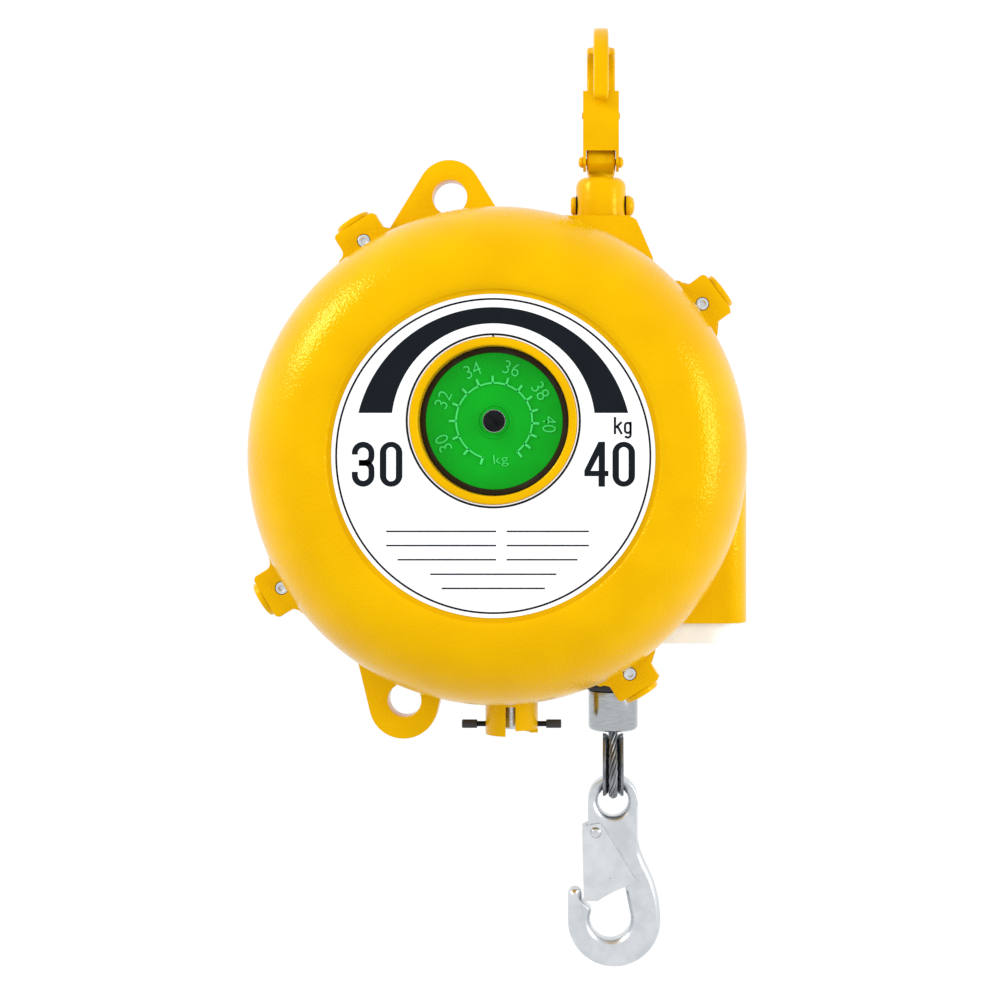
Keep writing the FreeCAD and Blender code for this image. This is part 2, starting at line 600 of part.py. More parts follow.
def hook_face(with_eye):
    """Side outline of a hook in the X, Z plane: u along X, v along Z."""
    def p(u, v):
        return V(u, 0, v)

    def on_circle(cu, cv, radius, degrees):
        a = math.radians(degrees)
        return p(cu + radius * math.cos(a), cv + radius * math.sin(a))

    def line(a, b):
        return Part.makeLine(a, b)

    tip_out = p(BOWL_U - BOWL_R, TIP_V)
    tip_in = p(TIP_U + TIP_R, TIP_V)
    neck_out = on_circle(BOWL_U, BOWL_V, BOWL_R, 180)
    neck_right = on_circle(BOWL_U, BOWL_V, BOWL_R, 0)
    bowl_left = on_circle(SADDLE_U, SADDLE_V, SADDLE_R, 155)
    bowl_right = on_circle(SADDLE_U, SADDLE_V, SADDLE_R, 12)
    shank_left = p(-EYE_R, SHANK_LEFT_V)
    throat = p(THROAT_U, THROAT_V)
    notch = p(TIP_U + TIP_R, NOTCH_V)
    hip = p(*HIP)
    waist = p(SHANK_RIGHT_U, WAIST_V)
    edges = [
        line(shank_left, throat),
        line(throat, bowl_right),
        arc_edge(bowl_right, on_circle(SADDLE_U, SADDLE_V, SADDLE_R, -96), bowl_left),
        line(bowl_left, notch),
        line(notch, tip_in),
        arc_edge(tip_in, p((tip_in.x + tip_out.x) / 2, TIP_V + TIP_R), tip_out),
        line(tip_out, neck_out),
        arc_edge(neck_out, on_circle(BOWL_U, BOWL_V, BOWL_R, 270), neck_right),
        arc_edge(neck_right, p(*HIP_BEND), hip),
        arc_edge(hip, p(*WAIST_BEND), waist),
    ]
    if with_eye:
        shoulder = p(SHANK_RIGHT_U, SHOULDER_V)
        eye_left = p(-EYE_R, 0)
        edges += [line(waist, shoulder), arc_edge(shoulder, p(0, EYE_R), eye_left), line(eye_left, shank_left)]
    else:
        edges += [line(waist, shank_left)]
    return Part.Face(Part.Wire(edges))


def latch_rivet_hole(length):
    return rod(LATCH_RIVET_R + RUNNING_GAP, -length, length, Y_DIR, V(LATCH_PIVOT_U, 0, LATCH_PIVOT_V))


def hook_plan(thick):
    """Hook plate of one thickness, centred on its middle plane, eye upwards."""
    return hook_face(True).extrude(V(0, thick, 0)).translated(V(0, -thick / 2, 0))


def make_load_hook():
    body = hook_plan(HOOK_T)
    body = body.cut(rod(EYE_HOLE_R, -HOOK_T, HOOK_T, Y_DIR))
    body = body.makeFillet(HOOK_T / 2 - EYE_LAND, [e for e in body.Edges if is_circle(e, EYE_HOLE_R)])
    body = body.makeChamfer(FORGED_EDGE, [e for e in body.Edges if is_outer_bend(e)])
    body = body.makeChamfer(FORGED_EDGE, [e for e in body.Edges if is_circle(e, SADDLE_R)])
    return body.cut(latch_rivet_hole(HOOK_T))


def is_circle(edge, radius):
    """A round edge of this radius lying in one of the broad faces."""
    curve = edge.Curve
    round_edge = curve.TypeId == "Part::GeomCircle" and edge.BoundBox.YLength < 0.01
    return round_edge and abs(curve.Radius - radius) < 0.01


def is_outer_bend(edge):
    """Broad-face edges round the tip, the outside of the bowl and the waist."""
    box = edge.BoundBox
    past_tip = box.XMin < TIP_U + TIP_R - 0.5
    past_shank = box.XMax > EYE_R + 0.2
    return box.YLength < 0.01 and (past_tip or past_shank)


def latch_web_face():
    """Side outline of one latch wing, u along X and v along Z."""
    def p(u, v):
        return V(u, 0, v)

    crown = p(LATCH_PIVOT_U + LATCH_CROWN / 2, LATCH_HEAD_V)
    crown_left = p(LATCH_PIVOT_U - LATCH_CROWN / 2, LATCH_HEAD_V - 0.7)
    cheek = p(LATCH_BACK_U, LATCH_HEAD_V - LATCH_CHEEK)
    brow = p(LATCH_PIVOT_U + LATCH_CROWN, LATCH_HEAD_V - LATCH_CHEEK)
    toe_low = p(LATCH_TOE_U - LATCH_TOE_R, LATCH_TOE_V - LATCH_TOE_R * 0.8)
    toe_end = p(LATCH_TOE_U - 2 * LATCH_TOE_R, LATCH_TOE_V - LATCH_TOE_R * 1.4)
    sill = p(LATCH_SILL_U, LATCH_LIP_V)
    belly = p((toe_end.x + sill.x) / 2, (toe_end.z + sill.z) / 2 + LATCH_BELLY)
    edges = [
        Part.makeLine(cheek, crown_left), Part.makeLine(crown_left, crown), Part.makeLine(crown, brow),
        Part.makeLine(brow, p(LATCH_TOE_U, LATCH_TOE_V)),
        arc_edge(p(LATCH_TOE_U, LATCH_TOE_V), toe_low, toe_end),
        arc_edge(toe_end, belly, sill),
        Part.makeLine(sill, p(LATCH_BACK_U + 1, LATCH_LIP_V)),
        Part.makeLine(p(LATCH_BACK_U + 1, LATCH_LIP_V), cheek),
    ]
    return Part.Face(Part.Wire(edges))


def latch_solid(inner_w, wing_t):
    """Folded sheet latch: a wing on either side of the hook and a web across the mouth."""
    outer = inner_w + 2 * wing_t
    whole = latch_web_face().extrude(V(0, outer, 0)).translated(V(0, -outer / 2, 0))
    room = block(LATCH_BACK_U + LATCH_T, 40, -inner_w / 2, inner_w / 2, -80, 0)
    room = room.fuse(block(-40, 40, -inner_w / 2, inner_w / 2, LATCH_ROOM_V, 0))
    solid = whole.cut(room)
    solid = solid.cut(rod(LATCH_RIVET_R + SEAT_GAP, -outer, outer, Y_DIR, V(LATCH_PIVOT_U, 0, LATCH_PIVOT_V)))
    dimples = [rod(LATCH_DIMPLE_R, side * outer / 2 - (0.5 if side > 0 else 0.7), side * outer / 2 + (0.7 if side > 0 else 0.5),
                   Y_DIR, V(LATCH_DIMPLE_U, 0, LATCH_DIMPLE_V)) for side in (-1, 1)]
    return solid.fuse(dimples).removeSplitter()


def latch_rivet(outer_w, head_t):
    at = V(LATCH_PIVOT_U, 0, LATCH_PIVOT_V)
    half = outer_w / 2 + SEAT_GAP
    shank = rod(LATCH_RIVET_R, -half, half, Y_DIR, at)
    near = domed_head(LATCH_HEAD_R, head_t)
    near.rotate(ROOT, X_DIR, 90)
    near.translate(at + V(0, -half, 0))
    far = domed_head(LATCH_HEAD_R, head_t)
    far.rotate(ROOT, X_DIR, -90)
    far.translate(at + V(0, half, 0))
    return fused(shank, near, far)


def domed_head(radius, height):
    """Low domed head standing on the X, Y plane."""
    profile = [(0, 0), (radius, 0), (radius, height * 0.35), (radius * 0.8, height * 0.8), (radius * 0.4, height),
               (0, height)]
    return turned_up(profile, 0, 0)


def top_hook_face():
    """Side outline of the top hook down to just above the yoke, in the X, Z plane."""
    with_foot = hook_face(False)
    low = SHANK_LEFT_V - 0.5
    foot = face_of([V(-EYE_R, 0, SHANK_LEFT_V), V(-EYE_R, 0, FOOT_SIDE_V), V(-FOOT_HALF, 0, FOOT_V),
                    V(FOOT_HALF, 0, FOOT_V), V(SHANK_RIGHT_U, 0, FOOT_SIDE_V), V(SHANK_RIGHT_U, 0, low)])
    return with_foot, foot


def make_top_hook():
    curl, foot = top_hook_face()
    thin = curl.extrude(V(0, RIB_T, 0)).translated(V(0, -RIB_T / 2, 0))
    broad = curl.extrude(V(0, BACK_T, 0)).translated(V(0, -BACK_T / 2, 0))
    base = foot.extrude(V(0, BACK_T, 0)).translated(V(0, -BACK_T / 2, 0))
    back_top = BOWL_V - BOWL_R + 10
    keep = slab([(-2.0, back_top + 4), (2.0, back_top), (40, back_top), (40, 0), (-40, 0), (-40, -30), (-2, -46)],
                -BACK_T, BACK_T)
    broad = broad.common(keep)
    body = broad.fuse([thin, base])
    stem_top = V(0, 0, FOOT_V - 4)
    pin_v = TOP_HOOK_Z - PIN_Z
    body = body.fuse([Part.makeCylinder(HOOK_STEM_R, pin_v - FOOT_V + 4, stem_top, Z_DIR),
                      Part.makeSphere(HOOK_STEM_R, V(0, 0, pin_v))])
    body = body.cut([latch_rivet_hole(BACK_T), rod(PIN_R + RUNNING_GAP, -20, 20, Y_DIR, V(0, 0, pin_v))])
    return stand_top(body.removeSplitter())


def stand_top(shape):
    """Sets a piece modelled on the hook plan onto the top hook: v runs down, u runs back."""
    copy = shape.mirror(ROOT, Z_DIR)
    copy.rotate(ROOT, Z_DIR, 90)
    copy.translate(V(HANGER_X, HANGER_Y, TOP_HOOK_Z))
    return copy


def hang_load(shape):
    copy = shape.copy()
    copy.translate(V(ROPE_X, ROPE_Y, LOAD_EYE_Z))
    return copy


# ================= suspension =================
def make_yoke():
    at = V(HANGER_X, HANGER_Y, 0)
    low = BLOCK_TOP_Z + SLIDE_GAP
    body = turned_up([(0, low), (YOKE_R, low), (YOKE_R, YOKE_TOP_Z - YOKE_EDGE),
                      (YOKE_R - 0.7, YOKE_TOP_Z - 2.5), (YOKE_R - 2.4, YOKE_TOP_Z - 0.8),
                      (YOKE_R - YOKE_EDGE, YOKE_TOP_Z), (0, YOKE_TOP_Z)], HANGER_X, HANGER_Y)
    stem = rod(SWIVEL_R, SWIVEL_END_Z, BLOCK_TOP_Z + 2, Z_DIR, at)
    half = HOOK_STEM_R + LATCH_GAP
    lean = math.tan(math.radians(HOOK_SWING))
    top = YOKE_TOP_Z + 1
    wide = half + 0.3 + (top - PIN_Z) * lean
    outline = [V(0, -half - 0.3, PIN_Z), V(0, half + 0.3, PIN_Z), V(0, wide, top), V(0, -wide, top)]
    slot = face_of(outline).extrude(V(2 * half, 0, 0)).translated(V(HANGER_X - half, HANGER_Y, 0))
    floor = rod(half + 0.3, -half, half, X_DIR, V(HANGER_X, HANGER_Y, PIN_Z))
    hole = rod(PIN_R + SEAT_GAP, -20, 20, X_DIR, V(HANGER_X, HANGER_Y, PIN_Z))
    body = body.fuse(stem).cut([slot, floor, hole])
    for side in (-1, 1):
        start, end = sorted((side * PIN_SEAT_X, side * 20))
        body = body.cut(rod(6.6, start, end, X_DIR, V(HANGER_X, HANGER_Y, PIN_Z)))
    return body.removeSplitter()


def make_yoke_pin():
    at = V(HANGER_X, HANGER_Y, PIN_Z)
    reach = PIN_SEAT_X + WASHER_T + SEAT_GAP
    shank = rod(PIN_R, -reach, reach, X_DIR, at)
    dome = domed_head(6.0, 4.8)
    dome.rotate(ROOT, Y_DIR, 90)
    dome.translate(at + V(reach, 0, 0))
    pan = turned_up([(0, 0), (5.2, 0), (5.2, 2.0), (4.2, 3.0), (0, 3.0)], 0, 0)
    pan.rotate(ROOT, Y_DIR, -90)
    pan.translate(at - V(reach, 0, 0))
    return fused(shank, dome, pan)


def make_pin_washers():
    at = V(HANGER_X, HANGER_Y, PIN_Z)
    bore = PIN_R + SEAT_GAP
    return [ring(5.6, bore, PIN_SEAT_X, PIN_SEAT_X + WASHER_T, X_DIR, at),
            ring(5.6, bore, -PIN_SEAT_X - WASHER_T, -PIN_SEAT_X, X_DIR, at)]


def make_swivel_washer():
    at = V(HANGER_X, HANGER_Y, 0)
    top = BLOCK_CEILING_Z - 0.1
    return ring(SWIVEL_R + 2.6, SWIVEL_R + SEAT_GAP, top - 2.0, top, Z_DIR, at)


def make_swivel_nut():
    top = BLOCK_CEILING_Z - 2.1 - SEAT_GAP
    nut = hexagon(19.0, HANGER_X, HANGER_Y, top - 5.0, top)
    return nut.cut(rod(SWIVEL_R + SEAT_GAP, SWIVEL_END_Z - 5, BLOCK_TOP_Z, Z_DIR, V(HANGER_X, HANGER_Y, 0)))


# ================= rope parts =================
def rope_path():
    """Centre line in the Y, Z plane: down, through the ferrule, round the thimble and back up."""
    reach = math.hypot(LEG_OFFSET, FERRULE_BOTTOM_Z - LOOP_Z)
    lean = math.asin(LOOP_R / reach) - math.atan2(LEG_OFFSET, FERRULE_BOTTOM_Z - LOOP_Z)
    touch = (LOOP_R * math.cos(lean), LOOP_Z + LOOP_R * math.sin(lean))
    corners = [(0, ROPE_TOP_Z), (0, BEND_TOP_Z), (-LEG_OFFSET, BEND_LOW_Z), (-LEG_OFFSET, FERRULE_BOTTOM_Z),
               (-touch[0], touch[1])]
    down = rounded(corners, BEND_R)
    bow = arc_edge(rope_point(-touch[0], touch[1]), rope_point(0, LOOP_Z - LOOP_R), rope_point(touch[0], touch[1]))
    up = rounded([(touch[0], touch[1]), (LEG_OFFSET, FERRULE_BOTTOM_Z), (LEG_OFFSET, TAIL_TOP_Z)], BEND_R)
    return down + [bow] + up, lean, touch


def rope_point(offset, z):
    return V(ROPE_X, ROPE_Y + offset, z)


def rounded(corners, radius):
    """Straight edges between corners with an arc of the radius at each inner corner."""
    pts = [rope_point(a, b) for a, b in corners]
    edges = []
    start = pts[0]
    for before, corner, after in zip(pts, pts[1:], pts[2:]):
        back = (before - corner).normalize()
        ahead = (after - corner).normalize()
        half = back.getAngle(ahead) / 2
        trim = radius / math.tan(half)
        middle = (back + ahead).normalize()
        centre = corner + middle * (radius / math.sin(half))
        a = corner + back * trim
        b = corner + ahead * trim
        edges.append(Part.makeLine(start, a))
        edges.append(arc_edge(a, centre - middle * radius, b))
        start = b
    edges.append(Part.makeLine(start, pts[-1]))
    return edges


def swept(edges, radius):
    wire = Part.Wire(edges)
    first = edges[0]
    start = wire.OrderedVertexes[0].Point
    direction = first.tangentAt(first.FirstParameter)
    profile = Part.Wire([Part.makeCircle(radius, start, direction)])
    return wire.makePipeShell([profile], True, True)


def make_wire_rope():
    return swept(rope_path()[0], ROPE_R)


def make_bumper():
    body = turned_up([(0, BUMPER_TOP_Z), (BUMPER_R - 1, BUMPER_TOP_Z), (BUMPER_R, BUMPER_TOP_Z - 1),
                      (BUMPER_R, BUMPER_BOTTOM_Z + 6), (BUMPER_R - 0.8, BUMPER_BOTTOM_Z + 3),
                      (BUMPER_R - 2.6, BUMPER_BOTTOM_Z + 0.9), (BUMPER_R - 5, BUMPER_BOTTOM_Z), (0, BUMPER_BOTTOM_Z)],
                     ROPE_X, ROPE_Y)
    return body.cut(rod(ROPE_R + SEAT_GAP, -200, 0, Z_DIR, rope_point(0, 0)))


def make_ferrule(rope):
    body = turned_up([(0, BUMPER_BOTTOM_Z), (FERRULE_R - 1, BUMPER_BOTTOM_Z), (FERRULE_R, BUMPER_BOTTOM_Z - 1),
                      (FERRULE_R, FERRULE_BOTTOM_Z + 2), (FERRULE_R - 0.7, FERRULE_BOTTOM_Z + 0.7),
                      (FERRULE_R - 2, FERRULE_BOTTOM_Z), (0, FERRULE_BOTTOM_Z)], ROPE_X, ROPE_Y)
    return body.cut(rope)


def make_thimble():
    lean = rope_path()[1]
    touch = rope_path()[2]
    section = [(THIMBLE_R, -3.0), (12.6, -THIMBLE_HALF_W), (15.2, -THIMBLE_HALF_W), (15.2, -4.5), (LOOP_R, -2.95),
               (LOOP_R - ROPE_R - 0.06, -2.0), (LOOP_R - ROPE_R - 0.06, 2.0), (LOOP_R, 2.95), (15.2, 4.5),
               (15.2, THIMBLE_HALF_W), (12.6, THIMBLE_HALF_W), (THIMBLE_R, 3.0)]
    centre = rope_point(0, LOOP_Z)
    degrees = math.degrees(lean)
    leg = math.hypot(touch[0] - LEG_OFFSET, FERRULE_BOTTOM_Z - touch[1]) - BEND_R * 0.5
    face = face_of([centre + V(x, r, 0) for r, x in section])
    right = face.copy()
    right.rotate(centre, X_DIR, degrees)
    bow = right.revolve(centre, X_DIR, -(180 + 2 * degrees))
    a = math.radians(degrees)
    right_leg = right.extrude(V(0, -math.sin(a), math.cos(a)) * leg)
    left_leg = right_leg.mirror(centre, Y_DIR)
    clear = block(ROPE_X - 8, ROPE_X + 8, ROPE_Y - 0.15, ROPE_Y + 0.15, LOOP_Z, FERRULE_BOTTOM_Z)
    return bow.fuse([right_leg, left_leg]).cut(clear).removeSplitter()


# ================= tension lock =================
def make_plunger():
    at = V(LOCK_X, LOCK_Y, 0)
    body = turned_up([(0, PLUNGER_BOTTOM_Z), (PLUNGER_R - 1, PLUNGER_BOTTOM_Z), (PLUNGER_R, PLUNGER_BOTTOM_Z + 1),
                      (PLUNGER_R, COLLAR_TOP_Z - COLLAR_T), (COLLAR_R, COLLAR_TOP_Z - COLLAR_T),
                      (COLLAR_R, COLLAR_TOP_Z), (PLUNGER_R, COLLAR_TOP_Z), (PLUNGER_R, PLUNGER_TOP_Z - 1.5),
                      (PLUNGER_R - 1.5, PLUNGER_TOP_Z), (0, PLUNGER_TOP_Z)], LOCK_X, LOCK_Y)
    return body.cut(rod(CROSS_PIN_R + SEAT_GAP, -20, 20, X_DIR, at + V(0, 0, CROSS_PIN_Z)))


def make_cross_pin():
    return rod(CROSS_PIN_R, -CROSS_PIN_HALF + 0.8, CROSS_PIN_HALF - 0.8, X_DIR, V(LOCK_X, LOCK_Y, CROSS_PIN_Z))


def make_pin_caps():
    at = V(LOCK_X, LOCK_Y, CROSS_PIN_Z)
    bore = CROSS_PIN_R + SEAT_GAP
    inner = CROSS_PIN_HALF - CAP_L
    right = rod(CAP_R, inner, CROSS_PIN_HALF, X_DIR, at).cut(rod(bore, inner - 1, CROSS_PIN_HALF - 0.8, X_DIR, at))
    left = rod(CAP_R, -CROSS_PIN_HALF, -inner, X_DIR, at).cut(rod(bore, -CROSS_PIN_HALF + 0.8, 1 - inner, X_DIR, at))
    return [right, left]


def make_lock_spring():
    low = SLEEVE_SHOULDER_Z
    high = COLLAR_TOP_Z - COLLAR_T
    wire_r = 0.8
    coil_r = PLUNGER_R + 0.4 + wire_r
    turns = 5
    height = high - low - 2 * wire_r
    helix = Part.makeHelix(height / turns, height, coil_r)
    corners = [V(coil_r + wire_r * math.cos(math.radians(60 * i)), 0, wire_r * math.sin(math.radians(60 * i)))
               for i in range(6)]
    profile = Part.makePolygon(corners + corners[:1])
    coil = Part.Wire(helix.Edges).makePipeShell([profile], True, True)
    coil.translate(V(LOCK_X, LOCK_Y, low + wire_r))
    return coil


# ================= drum group =================
def make_main_shaft():
    nose = rod(SHAFT_FRONT_R, SHAFT_FRONT_Y, SHAFT_STEP_Y, Y_DIR)
    body = nose.fuse(rod(SHAFT_R, SHAFT_STEP_Y, SHAFT_BACK_Y, Y_DIR))
    key_seat = block(-KEY_W / 2, KEY_W / 2, ARBOR_FRONT_Y + 4, ARBOR_BACK_Y - 4, SHAFT_R - 3, SHAFT_R + 1)
    gear_seat = block(-KEY_W / 2, KEY_W / 2, GEAR_Y - GEAR_W / 2, SHAFT_BACK_Y + 1, SHAFT_R - 3, SHAFT_R + 1)
    tapped = rod(2.5 + SEAT_GAP, SHAFT_FRONT_Y - 1, SHAFT_FRONT_Y + 10, Y_DIR)
    grooves = [ring(SHAFT_R + 1, SHAFT_R - CLIP_DEPTH, y, y + CLIP_T + 0.1, Y_DIR) for y in clip_places()]
    return body.cut([key_seat, gear_seat, tapped] + grooves)


def clip_places():
    """Front face of each retaining ring on the shaft."""
    return (FRONT_BEARING_Y + BEARING_T + 0.1, REAR_BEARING_Y + BEARING_T + 0.1, GEAR_Y + GEAR_W / 2 + 0.1)


def make_shaft_clips():
    clips = []
    for y in clip_places():
        clip = ring(SHAFT_R + 1.6, SHAFT_R - CLIP_DEPTH + SEAT_GAP, y + 0.05, y + 0.05 + CLIP_T - 0.05, Y_DIR)
        clips.append(clip.cut(block(-2.5, 2.5, y - 1, y + 3, -SHAFT_R - 3, 0)))
    return clips


def make_keys():
    top = SHAFT_R + 3
    low = SHAFT_R - 3 + SEAT_GAP
    half = KEY_W / 2 - SEAT_GAP
    arbor_key = block(-half, half, ARBOR_FRONT_Y + 4.05, ARBOR_BACK_Y - 4.05, low, top - SEAT_GAP)
    gear_key = block(-half, half, GEAR_Y - GEAR_W / 2 + SEAT_GAP, GEAR_Y + GEAR_W / 2 - SEAT_GAP, low, top - SEAT_GAP)
    return [arbor_key, gear_key]


def make_arbor():
    body = ring(ARBOR_R, SHAFT_R + SEAT_GAP, ARBOR_FRONT_Y, ARBOR_BACK_Y, Y_DIR)
    return body.cut(block(-KEY_W / 2, KEY_W / 2, ARBOR_FRONT_Y - 1, ARBOR_BACK_Y + 1, 0, SHAFT_R + 3))


def make_inner_race(y):
    return ring(SHAFT_R + SEAT_GAP + BEARING_RACE, SHAFT_R + SEAT_GAP, y, y + BEARING_T, Y_DIR)


def make_outer_race(y):
    bore = SHAFT_R + SEAT_GAP + BEARING_RACE + RUNNING_GAP
    return ring(BEARING_R, bore, y, y + BEARING_T, Y_DIR)


def make_spring_case():
    hub_back = FRONT_BEARING_Y + BEARING_T + 2
    seat = BEARING_R + SEAT_GAP
    profile = [(seat, CASE_FRONT_Y), (CASE_R, CASE_FRONT_Y), (CASE_R, CASE_BACK_Y), (CASE_R - CASE_WALL, CASE_BACK_Y),
               (CASE_R - CASE_WALL, CASE_FRONT_Y + CASE_WALL), (HUB_R, CASE_FRONT_Y + CASE_WALL),
               (HUB_R, hub_back), (BEARING_R - 3, hub_back), (BEARING_R - 3, FRONT_BEARING_Y + BEARING_T),
               (seat, FRONT_BEARING_Y + BEARING_T)]
    return turned(profile)


def make_spring_lid():
    disc = ring(CASE_R, ARBOR_R + 1.0, CASE_BACK_Y, CASE_BACK_Y + LID_T, Y_DIR)
    return disc.cut(drum_bolt_holes(CASE_BACK_Y - 1, CASE_BACK_Y + LID_T + 1))


def drum_bolt_holes(y0, y1):
    places = [around(DRUM_BOLT_PCD_R, i, DRUM_BOLTS) for i in range(DRUM_BOLTS)]
    return [rod(DRUM_BOLT_R + SEAT_GAP, y0, y1, Y_DIR, at) for at in places]


def around(radius, index, count, turn=30.0):
    a = math.radians(turn + 360 * index / count)
    return V(radius * math.cos(a), 0, radius * math.sin(a))


def make_mainspring():
    """Flat spiral strip of half-circle arcs, its inner end on the arbor and its outer end on the case wall."""
    inner = ARBOR_R + 0.25
    outer = CASE_R - CASE_WALL - 0.25
    step = (outer - inner - SPRING_T) / (2 * SPRING_TURNS)
    inside, outside = [], []
    for i in range(2 * SPRING_TURNS):
        radius = inner + step * (i + 0.5)
        shift = step / 2 * (-1 if i % 2 == 0 else 1)
        flip = 1 if i % 2 == 0 else -1
        for edges, r in ((inside, radius), (outside, radius + SPRING_T)):
            a = V(shift + flip * r, MAINSPRING_FRONT_Y, 0)
            m = V(shift, MAINSPRING_FRONT_Y, flip * r)
            b = V(shift - flip * r, MAINSPRING_FRONT_Y, 0)
            edges.append(arc_edge(a, m, b))
    start = Part.makeLine(outside[0].Vertexes[0].Point, inside[0].Vertexes[0].Point)
    end = Part.makeLine(inside[-1].Vertexes[-1].Point, outside[-1].Vertexes[-1].Point)
    wire = Part.Wire(inside + [end] + outside[::-1] + [start])
    return Part.Face(wire).extrude(V(0, MAINSPRING_BACK_Y - MAINSPRING_FRONT_Y, 0))


def cone_radius(y):
    """Drum surface under the rope, whose centre line runs on the pitch cone."""
    return ROPE_X + (y - ROPE_Y) - ROPE_R * math.sqrt(2) - SEAT_GAP


def make_rope_drum():
    front = CASE_BACK_Y + LID_T
    seat = BEARING_R + SEAT_GAP
    cone_y0 = ROPE_Y - 4.5
    bearing_floor = REAR_BEARING_Y
    neck = ARBOR_R + 6
    profile = [(ARBOR_R + 1, front), (60, front), (60, front + 4), (neck, front + 4), (neck, LOCK_DISC_Y),
               (LOCK_DISC_R, LOCK_DISC_Y), (LOCK_DISC_R, LOCK_DISC_Y + LOCK_DISC_T),
               (cone_radius(cone_y0), LOCK_DISC_Y + LOCK_DISC_T), (cone_radius(cone_y0), cone_y0),
               (cone_radius(FLANGE_Y), FLANGE_Y), (FLANGE_R, FLANGE_Y), (FLANGE_R, FLANGE_Y + FLANGE_T),
               (cone_radius(FLANGE_Y) - 5, FLANGE_Y + FLANGE_T), (cone_radius(cone_y0) - 5, cone_y0 + FLANGE_T + 2),
               (HUB_R, cone_y0 + FLANGE_T + 2), (HUB_R, bearing_floor + BEARING_T), (seat, bearing_floor + BEARING_T),
               (seat, bearing_floor), (SHAFT_R + 3, bearing_floor), (SHAFT_R + 3, front + 10), (ARBOR_R + 1, front + 10)]
    drum = turned(profile)
    for i in range(LOCK_NOTCHES):
        notch = block(-LOCK_NOTCH_W / 2, LOCK_NOTCH_W / 2, LOCK_DISC_Y - 1, LOCK_DISC_Y + LOCK_DISC_T + 1,
                      LOCK_DISC_R - LOCK_NOTCH_DEPTH, LOCK_DISC_R + 2)
        drum = drum.cut(about_shaft(notch, 22.5 + 360 * i / LOCK_NOTCHES))
    return drum.cut(drum_bolt_holes(front - 1, front + 5)).removeSplitter()


def make_drum_bolts():
    y = CASE_BACK_Y - SPRING_HEAD_T
    bolts = []
    for i in range(DRUM_BOLTS):
        at = around(DRUM_BOLT_PCD_R, i, DRUM_BOLTS)
        head = rod(DRUM_BOLT_HEAD_R, y, CASE_BACK_Y, Y_DIR, at)
        shank = rod(DRUM_BOLT_R, CASE_BACK_Y, CASE_BACK_Y + LID_T + 7, Y_DIR, at)
        bolts.append(head.fuse(shank))
    return bolts


def make_rope_coil():
    """Rope lying on the cone, from the place where it leaves the drum to its anchored end."""
    slant = ROPE_PITCH * math.sqrt(2)
    helix = Part.makeHelix(slant, slant * ROPE_TURNS, ROPE_X, 45)
    corners = [V(ROPE_X + ROPE_R * math.cos(math.radians(45 * i)), 0, ROPE_R * math.sin(math.radians(45 * i)))
               for i in range(8)]
    profile = Part.makePolygon(corners + corners[:1])
    coil = Part.Wire(helix.Edges).makePipeShell([profile], True, True)
    coil.rotate(ROOT, X_DIR, -90)
    coil = coil.mirror(ROOT, Z_DIR)
    coil.rotate(ROOT, Y_DIR, -COIL_START)
    coil.translate(V(0, ROPE_Y, 0))
    return coil


# ================= tension adjuster =================


def tooth_corners(addendum, dedendum):
    """Half-section of a straight-sided tooth as (height over the pitch line, offset) corners."""
    tip = TOOTH_T / 2 - addendum * FLANK
    root = TOOTH_T / 2 + dedendum * FLANK
    return [(addendum, -tip), (addendum, tip), (-dedendum, root), (-dedendum, -root)]


def make_worm_wheel():
    root_r = GEAR_R - GEAR_DEDENDUM
    low = GEAR_Y - GEAR_W / 2
    high = GEAR_Y + GEAR_W / 2
    body = ring(root_r, SHAFT_R + SEAT_GAP, low, high, Y_DIR)
    hub = ring(SHAFT_R + 6, SHAFT_R + SEAT_GAP, BACK_Y + 0.2, high, Y_DIR)
    corners = tooth_corners(GEAR_ADDENDUM, GEAR_DEDENDUM + 0.3)
    tooth = slab([(-GEAR_R - h, o) for h, o in corners], low, high)
    lead = math.degrees(math.atan(GEAR_PITCH / (2 * math.pi * WORM_R)))
    tooth.rotate(V(-GEAR_R, GEAR_Y, 0), X_DIR, lead)
    teeth = [about_shaft(tooth, 360 * i / GEAR_TEETH) for i in range(GEAR_TEETH)]
    face_limit = ring(GEAR_R + 5, SHAFT_R, low, high, Y_DIR)
    body = body.fuse(hub).fuse(Part.makeCompound(teeth).common(face_limit))
    body = body.cut(block(-KEY_W / 2, KEY_W / 2, BACK_Y, high + 1, 0, SHAFT_R + 3))
    return body.removeSplitter()


def make_worm():
    at = V(WORM_X, GEAR_Y, 0)
    core_r = WORM_R - GEAR_DEDENDUM
    half = WORM_TURNS * GEAR_PITCH / 2
    core = rod(core_r, -half - 2, half + 2, Z_DIR, at)
    journals = [rod(WORM_JOURNAL_R, half + 1.5, WORM_TOP_Z, Z_DIR, at),
                rod(WORM_JOURNAL_R, WORM_LOW_Z, -half - 1.5, Z_DIR, at)]
    end = hexagon(WORM_HEX, WORM_X, GEAR_Y, WORM_LOW_Z - WORM_HEX_L, WORM_LOW_Z)
    helix = Part.makeHelix(GEAR_PITCH, (WORM_TURNS - 1) * GEAR_PITCH, WORM_R)
    corners = tooth_corners(GEAR_ADDENDUM, GEAR_DEDENDUM + 0.2)
    profile = Part.makePolygon([V(WORM_R + h, 0, o) for h, o in corners + corners[:1]])
    thread = Part.Wire(helix.Edges).makePipeShell([profile], True, True)
    thread.translate(at + V(0, 0, -(WORM_TURNS - 1) * GEAR_PITCH / 2))
    return core.fuse(journals + [end]).fuse(thread)


